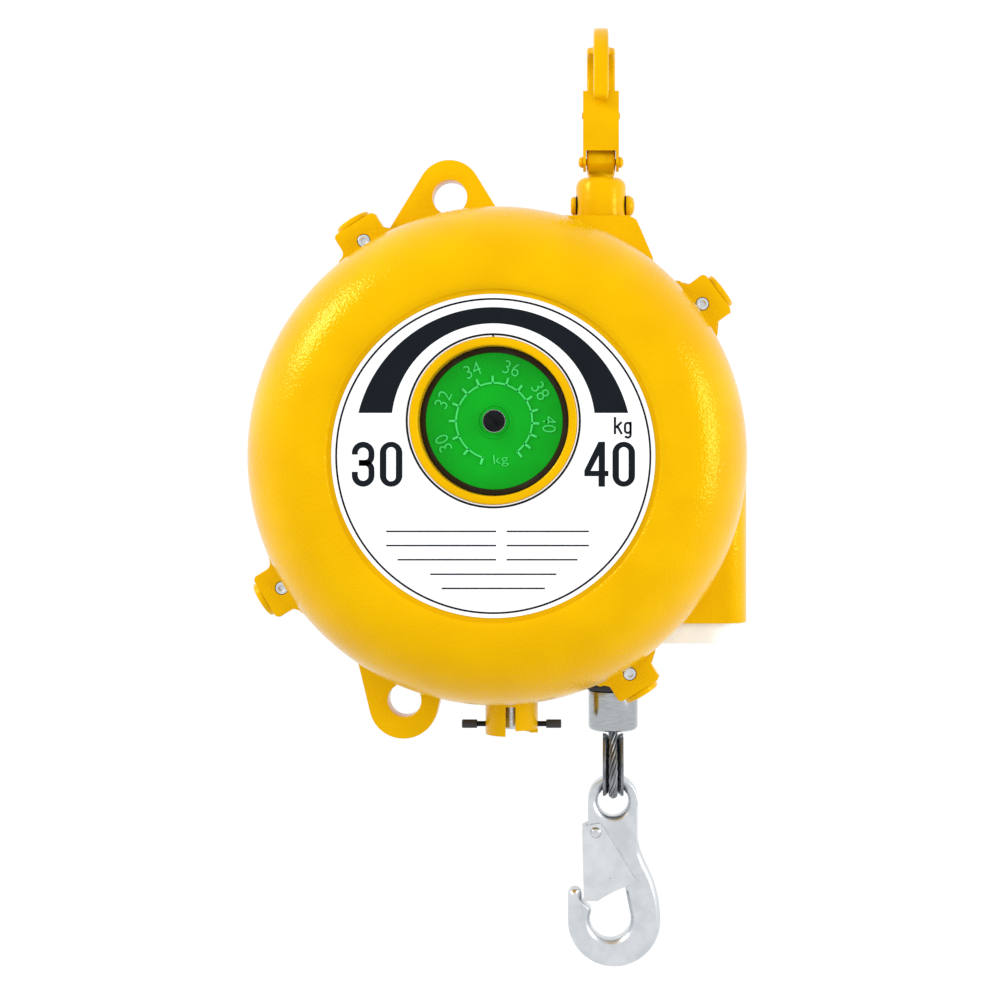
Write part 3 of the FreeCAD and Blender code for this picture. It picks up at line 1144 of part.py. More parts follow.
def make_worm_bushes():
    at = V(WORM_X, GEAR_Y, 0)
    outer = WORM_BORE_R - SEAT_GAP
    inner = WORM_TURNS * GEAR_PITCH / 2 + WORM_BUSH_GAP
    return [ring(outer, WORM_JOURNAL_R + RUNNING_GAP, TUBE_LOW_Z, -inner, Z_DIR, at),
            ring(outer, WORM_JOURNAL_R + RUNNING_GAP, inner, WORM_TOP_Z + 0.2, Z_DIR, at)]


def make_gear_cover():
    outer_r = GEAR_R + GEAR_ADDENDUM + 2 + GEAR_COVER_WALL
    inner_r = outer_r - GEAR_COVER_WALL
    flange_r = COVER_SCREW_R + 5.5
    flange_y = BACK_Y + 3.0
    at = V(WORM_X, GEAR_Y, 0)
    cup = turned([(0, BACK_Y), (flange_r, BACK_Y), (flange_r, flange_y), (outer_r, flange_y),
                  (outer_r, GEAR_COVER_Y - 3), (outer_r - 3, GEAR_COVER_Y), (0, GEAR_COVER_Y)])
    tube = rod(TUBE_R, TUBE_LOW_Z, TUBE_TOP_Z, Z_DIR, at)
    foot = block(WORM_X - TUBE_R, WORM_X + TUBE_R, BACK_Y, GEAR_Y, TUBE_LOW_Z, TUBE_TOP_Z)
    body = cup.fuse([tube, foot]).common(block(-100, 100, BACK_Y, GEAR_COVER_Y, -100, 100))
    room = rod(inner_r, BACK_Y - 1, GEAR_COVER_Y - GEAR_COVER_WALL, Y_DIR)
    bore = rod(WORM_BORE_R, TUBE_LOW_Z - 1, TUBE_TOP_Z - GEAR_COVER_WALL, Z_DIR, at)
    body = body.cut([room, bore])
    for x, z in COVER_SCREWS:
        body = body.cut(rod(SCREW_R + SEAT_GAP, BACK_Y - 1, flange_y + 1, Y_DIR, V(x, 0, z)))
    return body.removeSplitter()


def make_cover_screws():
    flange_y = BACK_Y + 3.0
    return [socket_screw(V(x, flange_y + SCREW_HEAD_L, z), -1, SCREW_HEAD_R, SCREW_HEAD_L, SCREW_R, 9.0)
            for x, z in COVER_SCREWS]


# ================= dial =================


def tick_angle(value):
    """Angle of a dial value, counter-clockwise from the right seen from the front."""
    n = value - SCALE_MIDDLE
    return SCALE_MIDDLE_ANGLE - SCALE_STEP * n + SCALE_TAPER * n * n


def make_dial():
    back = DIAL_FRONT_Y + DIAL_T
    hub_front = DIAL_FRONT_Y - 1.4
    disc = ring(DIAL_R, SHAFT_FRONT_R + SEAT_GAP, DIAL_FRONT_Y, back, Y_DIR)
    hub = ring(DIAL_HUB_R, SHAFT_FRONT_R + SEAT_GAP, hub_front, back, Y_DIR)
    raised_y = DIAL_FRONT_Y - SCALE_RAISE
    scale = ring(SCALE_R + SCALE_RING_W, SCALE_R, raised_y, DIAL_FRONT_Y, Y_DIR)
    start = tick_angle(SCALE_LOW)
    gap = tick_angle(SCALE_HIGH) + 360 - start
    wedge = [(0, 0)] + [(DIAL_R * math.cos(math.radians(start + gap * i / 4)),
                         DIAL_R * math.sin(math.radians(start + gap * i / 4))) for i in range(5)]
    scale = scale.cut(slab(wedge, raised_y - 1, DIAL_FRONT_Y + 1))
    tick = block(SCALE_R + SCALE_RING_W / 2, TICK_OUTER_R, raised_y, DIAL_FRONT_Y, -TICK_W / 2, TICK_W / 2)
    ticks = [about_shaft(tick, tick_angle(value)) for value in range(SCALE_LOW, SCALE_HIGH + 1)]
    return disc.fuse([hub, scale] + ticks).removeSplitter()


def make_dial_seal():
    return ring(RING_INNER_R - SEAT_GAP, DIAL_R - 4, WELL_FLOOR_Y - 2.2, WELL_FLOOR_Y, Y_DIR)


def make_shaft_screw():
    head_r = SHAFT_FRONT_R - 0.25
    front = SHAFT_FRONT_Y - 2.0
    screw = rod(head_r, front, SHAFT_FRONT_Y, Y_DIR).fuse(rod(2.5, SHAFT_FRONT_Y, SHAFT_FRONT_Y + 9, Y_DIR))
    slot = block(-head_r - 1, head_r + 1, front - 1, front + 1.1, -0.7, 0.7)
    return screw.cut(about_shaft(slot, -55))


# ================= export =================
def save(name, shapes):
    whole = shapes if not isinstance(shapes, list) else Part.makeCompound(shapes)
    moved = whole.copy()
    moved.translate(ORIGIN * -1)
    moved.exportStep("parts/" + name + ".step")


def main():
    os.makedirs("parts", exist_ok=True)
    rope = make_wire_rope()
    top_latch = latch_solid(TOP_LATCH_IN, LATCH_T)
    load_latch = latch_solid(LOAD_LATCH_IN, LATCH_T)
    save("top_hook", make_top_hook())
    save("top_latch", stand_top(top_latch))
    save("top_latch_rivet", stand_top(latch_rivet(TOP_LATCH_IN + 2 * LATCH_T, RIVET_HEAD_T)))
    save("yoke", make_yoke())
    save("yoke_pin", make_yoke_pin())
    save("yoke_pin_washers", make_pin_washers())
    save("swivel_washer", make_swivel_washer())
    save("swivel_nut", make_swivel_nut())
    save("front_cover", make_front_cover())
    save("drum_housing", make_drum_housing())
    save("rope_guide", make_rope_guide())
    save("lug_screws", make_lug_screws())
    save("lug_buttons", make_lug_buttons())
    save("front_label", make_label())
    save("front_bush", make_front_bush())
    save("rear_bush", make_rear_bush())
    save("dial_seal", make_dial_seal())
    save("gear_cover", make_gear_cover())
    save("gear_cover_screws", make_cover_screws())
    save("worm_bushes", make_worm_bushes())
    save("worm", make_worm())
    save("main_shaft", make_main_shaft())
    save("tension_dial", make_dial())
    save("dial_screw", make_shaft_screw())
    save("worm_wheel", make_worm_wheel())
    save("spring_arbor", make_arbor())
    save("shaft_keys", make_keys())
    save("shaft_clips", make_shaft_clips())
    save("front_bearing_inner", make_inner_race(FRONT_BEARING_Y))
    save("rear_bearing_inner", make_inner_race(REAR_BEARING_Y))
    save("front_bearing_outer", make_outer_race(FRONT_BEARING_Y))
    save("rear_bearing_outer", make_outer_race(REAR_BEARING_Y))
    save("spring_case", make_spring_case())
    save("spring_lid", make_spring_lid())
    save("mainspring", make_mainspring())
    save("rope_drum", make_rope_drum())
    save("drum_bolts", make_drum_bolts())
    save("wound_rope", make_rope_coil())
    save("wire_rope", rope)
    save("rope_bumper", make_bumper())
    save("rope_ferrule", make_ferrule(rope))
    save("thimble", make_thimble())
    save("load_hook", hang_load(make_load_hook()))
    save("load_latch", hang_load(load_latch))
    save("load_latch_rivet", hang_load(latch_rivet(LOAD_LATCH_IN + 2 * LATCH_T, RIVET_HEAD_T)))
    save("lock_plunger", make_plunger())
    save("lock_spring", make_lock_spring())
    save("lock_cross_pin", make_cross_pin())
    save("lock_pin_caps", make_pin_caps())


main()
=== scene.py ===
"""Spring balancer: painted casing, dial, safety hooks, wire rope and its fittings."""

import logging
import math
from dataclasses import dataclass
from enum import Enum
from typing import Any

import bmesh
import bpy
from mathutils import Matrix, Vector


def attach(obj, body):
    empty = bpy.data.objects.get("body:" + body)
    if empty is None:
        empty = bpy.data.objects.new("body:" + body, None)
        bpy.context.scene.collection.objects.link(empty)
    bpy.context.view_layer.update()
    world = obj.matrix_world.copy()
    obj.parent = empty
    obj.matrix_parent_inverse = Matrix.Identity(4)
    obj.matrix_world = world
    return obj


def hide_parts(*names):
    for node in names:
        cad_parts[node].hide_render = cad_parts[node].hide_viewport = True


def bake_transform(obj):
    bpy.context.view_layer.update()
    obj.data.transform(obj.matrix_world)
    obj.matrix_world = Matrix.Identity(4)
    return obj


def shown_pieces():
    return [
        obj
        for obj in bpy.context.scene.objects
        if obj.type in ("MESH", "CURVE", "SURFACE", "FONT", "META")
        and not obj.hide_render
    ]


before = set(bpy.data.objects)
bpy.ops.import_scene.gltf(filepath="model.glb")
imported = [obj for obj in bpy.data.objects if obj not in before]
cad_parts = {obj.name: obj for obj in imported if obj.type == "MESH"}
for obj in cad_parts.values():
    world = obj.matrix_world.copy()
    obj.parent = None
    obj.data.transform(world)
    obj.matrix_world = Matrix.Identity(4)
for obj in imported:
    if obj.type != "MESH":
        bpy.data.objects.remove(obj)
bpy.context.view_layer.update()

LOG = logging.getLogger("balancer")
MM = 0.001
TINY = 1e-6
GLOSS_IOR = 1.5

# The drawing has its zero on the main shaft and the frame has it in the top hook's bowl.
ORIGIN_MM = Vector((56.3, 11.4, 208.7))
HANGER_X = 56.3
CASING_Z = -18.4
ROPE_X = 63.2
ROPE_Y = 22.0

BMesh = bmesh.types.BMesh
Mesh = bpy.types.Mesh
Piece = bpy.types.Object
Socket = bpy.types.NodeSocket
Point = tuple[float, float]
Line = list[Point]
Lump = tuple[float, float, float, float]


class Body(Enum):
    """The rigid bodies that pieces ride on."""

    SUSPENSION = "suspension"
    TOP_GATE = "top_gate"
    SWIVEL = "swivel"
    CASING = "casing"
    TENSION = "tension_set"
    ROPE = "rope_end"
    LOAD_HOOK = "load_hook_set"
    LOAD_GATE = "load_gate"
    LOCK = "lock_pin"


def place(x: float, y: float, z: float) -> Vector:
    """Turn a point of the drawing, in millimetres from the main shaft, into frame metres."""
    return (Vector((x, y, z)) - ORIGIN_MM) * MM


def linear(code: str) -> tuple[float, float, float, float]:
    """Turn an sRGB hex colour into linear red, green, blue and an alpha of one."""
    parts = [int(code[i : i + 2], 16) / 255 for i in (0, 2, 4)]
    return (*(c / 12.92 if c <= 0.04045 else ((c + 0.055) / 1.055) ** 2.4 for c in parts), 1.0)


class Graph:
    """A node tree, written as a chain of calls."""

    def __init__(self, tree: bpy.types.NodeTree) -> None:
        """Take the tree to write in."""
        self.tree = tree

    def add(self, kind: str, settings: dict | None = None, **inputs: Any) -> bpy.types.Node:
        """Add a node with its settings and its input values or links.

        Args:
            kind: The node's type name.
            settings: Attributes to set on the node.
            inputs: Socket names, underscores for spaces, or iN for the socket number N.
                A value that is an output socket is linked.

        Returns:
            The new node.
        """
        node = self.tree.nodes.new(kind)
        for key, value in (settings or {}).items():
            setattr(node, key, value)
        for key, value in inputs.items():
            numbered = key[0] == "i" and key[1:].isdigit()
            socket = node.inputs[int(key[1:]) if numbered else key.replace("_", " ")]
            if isinstance(value, Socket):
                self.tree.links.new(value, socket)
            else:
                socket.default_value = value
        return node

    def out(self, kind: str, settings: dict | None = None, **inputs: Any) -> Socket:
        """Add a node and give its first output."""
        return self.add(kind, settings, **inputs).outputs[0]

    def noise(self, coords: Socket, size_mm: float, detail: float) -> Socket:
        """Noise whose lumps have a real size, with octaves of finer noise as its detail."""
        scale = 1.0 / (size_mm * MM)
        return self.out("ShaderNodeTexNoise", Vector=coords, Scale=scale, Detail=detail)

    def ramp(self, value: Socket, low: float, high: float, least: float, most: float) -> Socket:
        """Map a value from low and high to least and most, and no further."""
        line = dict(From_Min=low, From_Max=high, To_Min=least, To_Max=most)
        return self.out("ShaderNodeMapRange", {"clamp": True}, Value=value, **line)

    def mix(self, share: Socket, first: str, second: str) -> Socket:
        """Mix two hex colours by the second one's share."""
        tones = {"i0": share, "i6": linear(first), "i7": linear(second)}
        return self.add("ShaderNodeMix", {"data_type": "RGBA"}, **tones).outputs[2]


# ---- finishes
@dataclass(frozen=True)
class Finish:
    """Two close tones and a roughness that drift with a cloud, and lumps in the bump."""

    name: str
    slot: str
    colour: str
    shade: str
    roughness: float
    cloud_mm: float = 9.0
    cloud_detail: float = 3.0
    tones: Point = (0.3, 0.7)
    drift: Point = (0.0, 0.0)
    squeeze: float = 1.0

    def lumps(self) -> list[Lump]:
        """Bumps from coarse to fine: size in mm, octaves, depth in mm and strength."""
        raise NotImplementedError

    def optics(self) -> dict:
        """Further inputs of the shader, underscores for spaces."""
        return {"Metallic": 1.0}

    def material(self) -> bpy.types.Material:
        """Find the material, or make it on first use.

        Returns:
            The material, with its node tree.
        """
        found = bpy.data.materials.get(self.name)
        if found is None:
            found = bpy.data.materials.new(self.name)
            found.use_nodes = True
            found.node_tree.nodes.clear()
            self.write(Graph(found.node_tree))
        return found

    def write(self, graph: Graph) -> None:
        """Write the node tree.

        Args:
            graph: The material's empty tree.
        """
        coords = graph.add("ShaderNodeTexCoord").outputs["Object"]
        if self.squeeze != 1.0:
            scale = (1.0, 1.0, self.squeeze)
            coords = graph.out("ShaderNodeMapping", Vector=coords, Scale=scale)
        cloud = graph.noise(coords, self.cloud_mm, self.cloud_detail)
        tone = graph.mix(graph.ramp(cloud, *self.tones, 0.0, 1.0), self.colour, self.shade)
        least, most = self.roughness - self.drift[0], self.roughness + self.drift[1]
        rough = graph.ramp(cloud, 0.3, 0.7, least, most)
        bump = {}
        for size_mm, detail, depth_mm, strength in self.lumps():
            height = graph.noise(coords, size_mm, detail)
            bump |= {"Height": height, "Distance": depth_mm * MM, "Strength": strength}
            bump = {"Normal": graph.out("ShaderNodeBump", **bump)}
        inputs = {"Base_Color": tone, "Roughness": rough, **bump, **self.optics()}
        shader = graph.out("ShaderNodeBsdfPrincipled", **inputs)
        graph.add("ShaderNodeOutputMaterial", Surface=shader)


@dataclass(frozen=True)
class PowderCoat(Finish):
    """Powder coat: gloss paint over a casting, with the gentle lumps of orange peel."""

    cloud_mm: float = 30.0
    cloud_detail: float = 1.0
    tones: Point = (0.35, 0.7)
    gloss: str = "ffd84a"
    gloss_level: float = 0.45
    peel_mm: float = 1.5
    peel_depth_mm: float = 0.27
    wave_depth_mm: float = 0.2

    def lumps(self) -> list[Lump]:
        """A slow cast-metal waviness, with the paint's orange peel over it."""
        wave = (self.peel_mm * 6, 1.0, self.wave_depth_mm, 0.7)
        return [wave, (self.peel_mm, 1.0, self.peel_depth_mm, 1.0)]

    def optics(self) -> dict:
        """A gloss that is tinted by the paint."""
        level, tint = self.gloss_level, linear(self.gloss)
        return {"IOR": GLOSS_IOR, "Specular_IOR_Level": level, "Specular_Tint": tint}


@dataclass(frozen=True)
class PlatedSteel(Finish):
    """Plated or bare metal: satin, with faint handling marks and a fine grain."""

    tones: Point = (0.35, 0.65)
    drift: Point = (0.07, 0.09)
    grain_mm: float = 0.6
    grain_depth_mm: float = 0.006
    forged_mm: float = 7.0
    forged_depth_mm: float = 0.0

    def lumps(self) -> list[Lump]:
        """The soft waves of a forging, with a fine grain over them."""
        wave = (self.forged_mm, 1.0, self.forged_depth_mm, 0.6)
        return [wave, (self.grain_mm, 2.0, self.grain_depth_mm, 0.6)]


@dataclass(frozen=True)
class TurnedMetal(Finish):
    """Turned or drawn metal: streaks round an upright axis, from a noise squeezed along it."""

    cloud_mm: float = 4.9
    drift: Point = (0.06, 0.1)
    squeeze: float = 14.0
    ring_depth_mm: float = 0.008

    def lumps(self) -> list[Lump]:
        """Fine rings, where the tones are streaked."""
        return [(self.cloud_mm, self.cloud_detail, self.ring_depth_mm, 0.8)]


@dataclass(frozen=True)
class Moulded(Finish):
    """Moulded plastic or rubber: a slow drift of tone, a soft sheen and a fine mould texture."""

    cloud_mm: float = 14.0
    cloud_detail: float = 2.0
    drift: Point = (0.04, 0.05)
    texture_mm: float = 0.5
    texture_depth_mm: float = 0.008
    sheen_level: float = 0.5
    glow: float = 0.0
    glow_depth_mm: float = 2.0

    def lumps(self) -> list[Lump]:
        """The mould's texture."""
        return [(self.texture_mm, 2.0, self.texture_depth_mm, 0.7)]

    def optics(self) -> dict:
        """A soft sheen, and a little light let through."""
        glow = {"Subsurface_Weight": self.glow, "Subsurface_Scale": self.glow_depth_mm * MM}
        return {"IOR": GLOSS_IOR, "Specular_IOR_Level": self.sheen_level, **glow}


YELLOW = PowderCoat("powder_coat_yellow", "yellow_casting", "e0ad00", "d9a500", 0.15)
YELLOW_STEEL = PowderCoat("powder_coat_on_steel", "yellow_paint", "e0ad00", "d9a500", 0.15)
HOOK_PAINT = PowderCoat(
    "brushed_paint_yellow", "yellow_paint", "e0ac00", "d4a000", 0.2, peel_mm=3.0, peel_depth_mm=0.2
)
ZINC = PlatedSteel(
    "zinc_plated_forging", "forged_steel", "d6dade", "c6cbd0", 0.3, forged_depth_mm=0.03
)
ZINC_SHEET = PlatedSteel("zinc_plated_sheet", "zinc_steel", "dadee1", "ced2d5", 0.28)
THIMBLE_STEEL = PlatedSteel("worn_zinc_thimble", "zinc_steel", "8b8f93", "65696d", 0.34)
SCREW_STEEL = PlatedSteel("bright_zinc_screw", "zinc_steel", "d4d6d8", "b9bcc0", 0.24)
DARK_STEEL = PlatedSteel(
    "black_oxide_steel", "dark_steel", "26272a", "1b1c1e", 0.42, forged_depth_mm=0.01
)
ROPE_WIRE = PlatedSteel("galvanised_wire", "rope_steel", "9a9da1", "6f7276", 0.36, grain_mm=0.3)
SPRING_STRIP = PlatedSteel(
    "blued_spring_strip", "spring_steel", "5c6470", "434a55", 0.3, forged_depth_mm=0.05
)
CAST_ALUMINIUM = PlatedSteel(
    "cast_aluminium", "cast_aluminium", "c3c5c6", "adb0b2", 0.45,
    grain_mm=1.0, grain_depth_mm=0.02, forged_depth_mm=0.05,
)
TURNED = TurnedMetal("turned_steel", "machined_steel", "d5d7d8", "b4b7ba", 0.28)
PRESSED_ALUMINIUM = TurnedMetal("pressed_aluminium", "ferrule_aluminium", "b8bcbe", "9da2a6", 0.18)
BRONZE = TurnedMetal("bearing_bronze", "bronze", "c49a5c", "a97f45", 0.32)
DIAL_GREEN = Moulded(
    "moulded_green_plastic", "green_dial", "00a81c", "009f1a", 0.36, sheen_level=0.12
)
# Lighter green of the dial's own plastic on the raised figures, ticks and scale ring: a painted
# highlight on the relief.
DIAL_RELIEF_HIGHLIGHT = Moulded(
    "green_relief_painted_highlight", "green_dial", "3ad868", "32cc5e", 0.3, sheen_level=0.4
)
NYLON = Moulded("natural_nylon", "nylon_white", "f4f4f1", "eaeae6", 0.42, glow=0.15)
# Dark brown seal in the dial well: painted shade, the look of the yellow well wall in shadow.
WELL_SHADE_BROWN = Moulded("well_seal_painted_shade", "black_plastic", "2b1c08", "1d1306", 0.4)
RUBBER = Moulded(
    "black_rubber", "black_rubber", "0d0d0f", "08090a", 0.55,
    sheen_level=0.25, texture_mm=0.9, texture_depth_mm=0.02,
)
LABEL_FILM = Moulded(
    "printed_label_film", "label_white", "f2f4f6", "eef0f3", 0.3,
    sheen_level=0.3, texture_mm=2.0, texture_depth_mm=0.004,
)
LABEL_INK = Moulded(
    "black_label_ink", "label_white", "0b131b", "090f16", 0.3,
    sheen_level=0.12, texture_mm=2.0, texture_depth_mm=0.003,
)


# ---- mesh helpers
def stand(name: str, data: bpy.types.ID) -> Piece:
    """Put a mesh, curve, lamp or camera in the scene, at the frame's zero.

    Args:
        name: The object's name.
        data: What it shows.

    Returns:
        The object.
    """
    obj = bpy.data.objects.new(name, data)
    bpy.context.scene.collection.objects.link(obj)
    return obj


def coat(mesh: Mesh, finish: Finish) -> None:
    """Give a mesh its one finish."""
    mesh.materials.clear()
    mesh.materials.append(finish.material())


def new_object(
    name: str, mesh: Mesh, finish: Finish, body: Body | None, *nodes: str, sharp: float = 32.0
) -> Piece:
    """Make a piece of a mesh, with its finish and its smooth shading.

    Args:
        name: The piece's name.
        mesh: Mesh in frame metres.
        finish: What it is made of.
        body: The body that it rides on, or none.
        nodes: The CAD nodes that it stands for, if any.
        sharp: Edges sharper than this, in degrees, stay sharp.

    Returns:
        The piece.
    """
    mesh.name = name
    obj = stand(name, mesh)
    coat(mesh, finish)
    shade(mesh, sharp)
    if nodes:
        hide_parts(*nodes)
    if body:
        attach(obj, body.value)
    return obj


def shade(mesh: Mesh, degrees: float) -> None:
    """Shade a mesh smooth, save across sharp edges.

    Args:
        mesh: The mesh.
        degrees: Edges sharper than this stay sharp.
    """
    bm = bmesh.new()
    bm.from_mesh(mesh)
    limit = math.radians(degrees)
    for face in bm.faces:
        face.smooth = True
    for edge in bm.edges:
        edge.smooth = len(edge.link_faces) == 2 and edge.calc_face_angle(0.0) < limit
    bm.to_mesh(mesh)
    bm.free()


def evaluated(obj: Piece) -> Mesh:
    """New mesh of an object as its modifiers or its curve make it."""
    bpy.context.view_layer.update()
    return bpy.data.meshes.new_from_object(obj.evaluated_get(bpy.context.evaluated_depsgraph_get()))


def bake(obj: Piece, sharp: float) -> None:
    """Turn a piece's modifiers into its plain mesh and shade it smooth.

    Args:
        obj: The piece, which keeps its materials.
        sharp: Edges sharper than this, in degrees, stay sharp.
    """
    mesh = evaluated(obj)
    materials = list(obj.data.materials)
    obj.modifiers.clear()
    obj.data = mesh
    mesh.materials.clear()
    for material in materials:
        mesh.materials.append(material)
    shade(mesh, sharp)


def round_edges(obj: Piece, width_mm: float, segments: int = 2) -> None:
    """Round a piece's sharp edges.

    Args:
        obj: The piece, which ends with a plain mesh.
        width_mm: Width of the rounding.
        segments: Steps across it.
    """
    bevel = obj.modifiers.new("rounding", "BEVEL")
    bevel.width = width_mm * MM
    bevel.segments = segments
    bevel.limit_method = "ANGLE"
    bevel.angle_limit = math.radians(30.0)
    bake(obj, 38.0)


def as_mesh(bm: BMesh, closed: bool = False) -> Mesh:
    """Turn a bmesh into a mesh.

    Args:
        bm: The bmesh, which is freed.
        closed: Merge its doubled points and turn its faces outwards first.

    Returns:
        The mesh.
    """
    if closed:
        bmesh.ops.remove_doubles(bm, verts=bm.verts, dist=TINY)
        bmesh.ops.recalc_face_normals(bm, faces=bm.faces)
    mesh = bpy.data.meshes.new("shape")
    bm.to_mesh(mesh)
    bm.free()
    return mesh


def bridge(bm: BMesh, rings: list[list]) -> None:
    """Fill the strips between rings of equally many vertices.

    Args:
        bm: Where the faces go.
        rings: The rings in order. One that is a point holds it once for each step.
    """
    for low, high in zip(rings, rings[1:]):
        for i in range(len(low)):
            j = (i + 1) % len(low)
            corners = list(dict.fromkeys((low[i], low[j], high[j], high[i])))
            if len(corners) > 2:
                bm.faces.new(corners)


def hoop(bm: BMesh, centre: Vector, radius: float, steps: int, sides: int = 0) -> list:
    """Ring of vertices in an X, Z plane.

    Args:
        bm: Where the vertices go.
        centre: Its middle, in drawing millimetres.
        radius: Its radius, or half of a polygon's width across its flats.
        steps: Vertices round.
        sides: Sides of the polygon that it follows, or none for a circle.

    Returns:
        The vertices.
    """
    ring = []
    for i in range(steps):
        a = 2 * math.pi * i / steps
        bulge = math.cos(a % (2 * math.pi / sides) - math.pi / sides) if sides else 1.0
        reach = radius / bulge
        point = centre + Vector((reach * math.cos(a), 0, reach * math.sin(a)))
        ring.append(bm.verts.new(place(*point)))
    return ring


class Axis(Enum):
    """Direction a turned piece stands along: along, across and up vectors."""

    X = (Vector((1, 0, 0)), Vector((0, 1, 0)), Vector((0, 0, 1)))
    Y = (Vector((0, 1, 0)), Vector((0, 0, 1)), Vector((1, 0, 0)))
    Z = (Vector((0, 0, 1)), Vector((1, 0, 0)), Vector((0, 1, 0)))


def turned(profile: Line, centre: Vector, axis: Axis, steps: int) -> Mesh:
    """Mesh of revolution.

    Args:
        profile: (radius, along) corners in millimetres; the loop is closed unless it
            starts and ends on the axis.
        centre: Zero of the axis, in drawing millimetres.
        axis: Which way it stands.
        steps: Faces round.

    Returns:
        The mesh, in frame metres.
    """
    along, across, up = axis.value
    bm = bmesh.new()
    rings = []
    for radius, height in profile:
        middle = centre + along * height
        if radius < TINY:
            rings.append([bm.verts.new(place(*middle))] * steps)
            continue
        turns = [2 * math.pi * i / steps for i in range(steps)]
        spokes = [across * (radius * math.cos(a)) + up * (radius * math.sin(a)) for a in turns]
        rings.append([bm.verts.new(place(*(middle + spoke))) for spoke in spokes])
    on_axis = profile[0][0] < TINY and profile[-1][0] < TINY
    bridge(bm, rings if on_axis else rings + rings[:1])
    return as_mesh(bm, True)


def rounded_profile(corners: Line, radius: float, steps: int = 4) -> Line:
    """Round the corners of an open profile whose ends stay sharp.

    Args:
        corners: Profile corners.
        radius: Rounding radius, made smaller where a side is short.
        steps: Points along each rounding, less one.

    Returns:
        The finer profile.
    """
    out = [corners[0]]
    for before, corner, after in zip(corners, corners[1:], corners[2:]):
        b, c, a = Vector(before), Vector(corner), Vector(after)
        back, ahead = b - c, a - c
        reach = min(radius, back.length * 0.45, ahead.length * 0.45)
        start, end = c + back.normalized() * reach, c + ahead.normalized() * reach
        for i in range(steps + 1):
            t = i / steps
            p = start * (1 - t) ** 2 + c * 2 * t * (1 - t) + end * t * t
            out.append((p.x, p.y))
    return out + [corners[-1]]


def plate(outline: Line, y0: float, y1: float, *holes: Line) -> Mesh:
    """Flat plate of an X, Z outline between two Y planes.

    Args:
        outline: Outer corners in drawing millimetres.
        y0: Front plane.
        y1: Rear plane.
        holes: Further closed outlines that are left open.

    Returns:
        The mesh, in frame metres.
    """
    bm = bmesh.new()
    edges = []
    for loop in (outline, *holes):
        verts = [bm.verts.new(place(x, y0, z)) for x, z in loop]
        edges += [bm.edges.new(pair) for pair in zip(verts, verts[1:] + verts[:1])]
    if holes:
        bmesh.ops.triangle_fill(bm, use_beauty=True, edges=edges)
    else:
        bm.faces.new([e.verts[0] for e in edges])
    grown = bmesh.ops.extrude_face_region(bm, geom=list(bm.faces))
    moved = [v for v in grown["geom"] if isinstance(v, bmesh.types.BMVert)]
    bmesh.ops.translate(bm, verts=moved, vec=Vector((0, (y1 - y0) * MM, 0)))
    bmesh.ops.recalc_face_normals(bm, faces=bm.faces)
    limit = math.radians(0.5)
    bmesh.ops.dissolve_limit(bm, angle_limit=limit, verts=bm.verts, edges=bm.edges)
    return as_mesh(bm)


def arc(x: float, z: float, radius: float, start: float, end: float, steps: int) -> Line:
    """Points of an arc from one angle to another, in degrees."""
    angles = [math.radians(start + (end - start) * i / steps) for i in range(steps + 1)]
    return [(x + radius * math.cos(a), z + radius * math.sin(a)) for a in angles]


def circle(x: float, z: float, radius: float, steps: int) -> Line:
    """Points of a circle."""
    return arc(x, z, radius, 0, 360, steps)[:-1]


def spun(point: Point, degrees: float) -> Point:
    """Turn an (outward, sideways) point about the casing's middle, into drawing X and Z."""
    (u, v), a = point, math.radians(degrees)
    return (u * math.cos(a) - v * math.sin(a), CASING_Z + u * math.sin(a) + v * math.cos(a))


def join(name: str, meshes: list[Mesh], finish: Finish, body: Body, *nodes: str) -> None:
    """Join meshes into one piece.

    Args:
        name: The piece's name.
        meshes: What it is made from.
        finish: What it is made of.
        body: The body that it rides on.
        nodes: The CAD nodes that it stands for, if any.
    """
    bm = bmesh.new()
    for mesh in meshes:
        bm.from_mesh(mesh)
    new_object(name, as_mesh(bm), finish, body, *nodes)


def copy_of(
    node: str, name: str, finish: Finish, body: Body, bevel_mm: float = 0.0, segments: int = 2
) -> Piece:
    """Copy a CAD node, merge its loose triangles and round its edges.

    Args:
        node: The CAD node, which the copy replaces.
        name: The piece's name.
        finish: What it is made of.
        body: The body that it rides on.
        bevel_mm: Edge rounding, none if zero.
        segments: Steps across the rounding.

    Returns:
        The piece.
    """
    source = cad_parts[node]
    bm = bmesh.new()
    bm.from_mesh(source.data)
    bm.transform(source.matrix_world)
    bmesh.ops.remove_doubles(bm, verts=bm.verts, dist=2 * TINY)
    bmesh.ops.dissolve_degenerate(bm, edges=bm.edges, dist=TINY)
    limit = math.radians(1.0)
    bmesh.ops.dissolve_limit(bm, angle_limit=limit, verts=bm.verts, edges=bm.edges)
    obj = new_object(name, as_mesh(bm), finish, body, node)
    if bevel_mm:
        round_edges(obj, bevel_mm, segments)
    return obj


def forge(obj: Piece, voxel_mm: float, rounds: int) -> None:
    """Give a piece the soft edges of a forging.

    Args:
        obj: The piece.
        voxel_mm: Size of the mesh's faces.
        rounds: Smoothing passes.
    """
    remesh = obj.modifiers.new("remesh", "REMESH")
    remesh.mode = "VOXEL"
    remesh.voxel_size = voxel_mm * MM
    smooth = obj.modifiers.new("soften", "SMOOTH")
    smooth.factor = 0.5
    smooth.iterations = rounds
    bake(obj, 60.0)


def dress(node: str, finish: Finish) -> None:
    """Give a CAD node that stays its finish."""
    coat(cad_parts[node].data, finish)


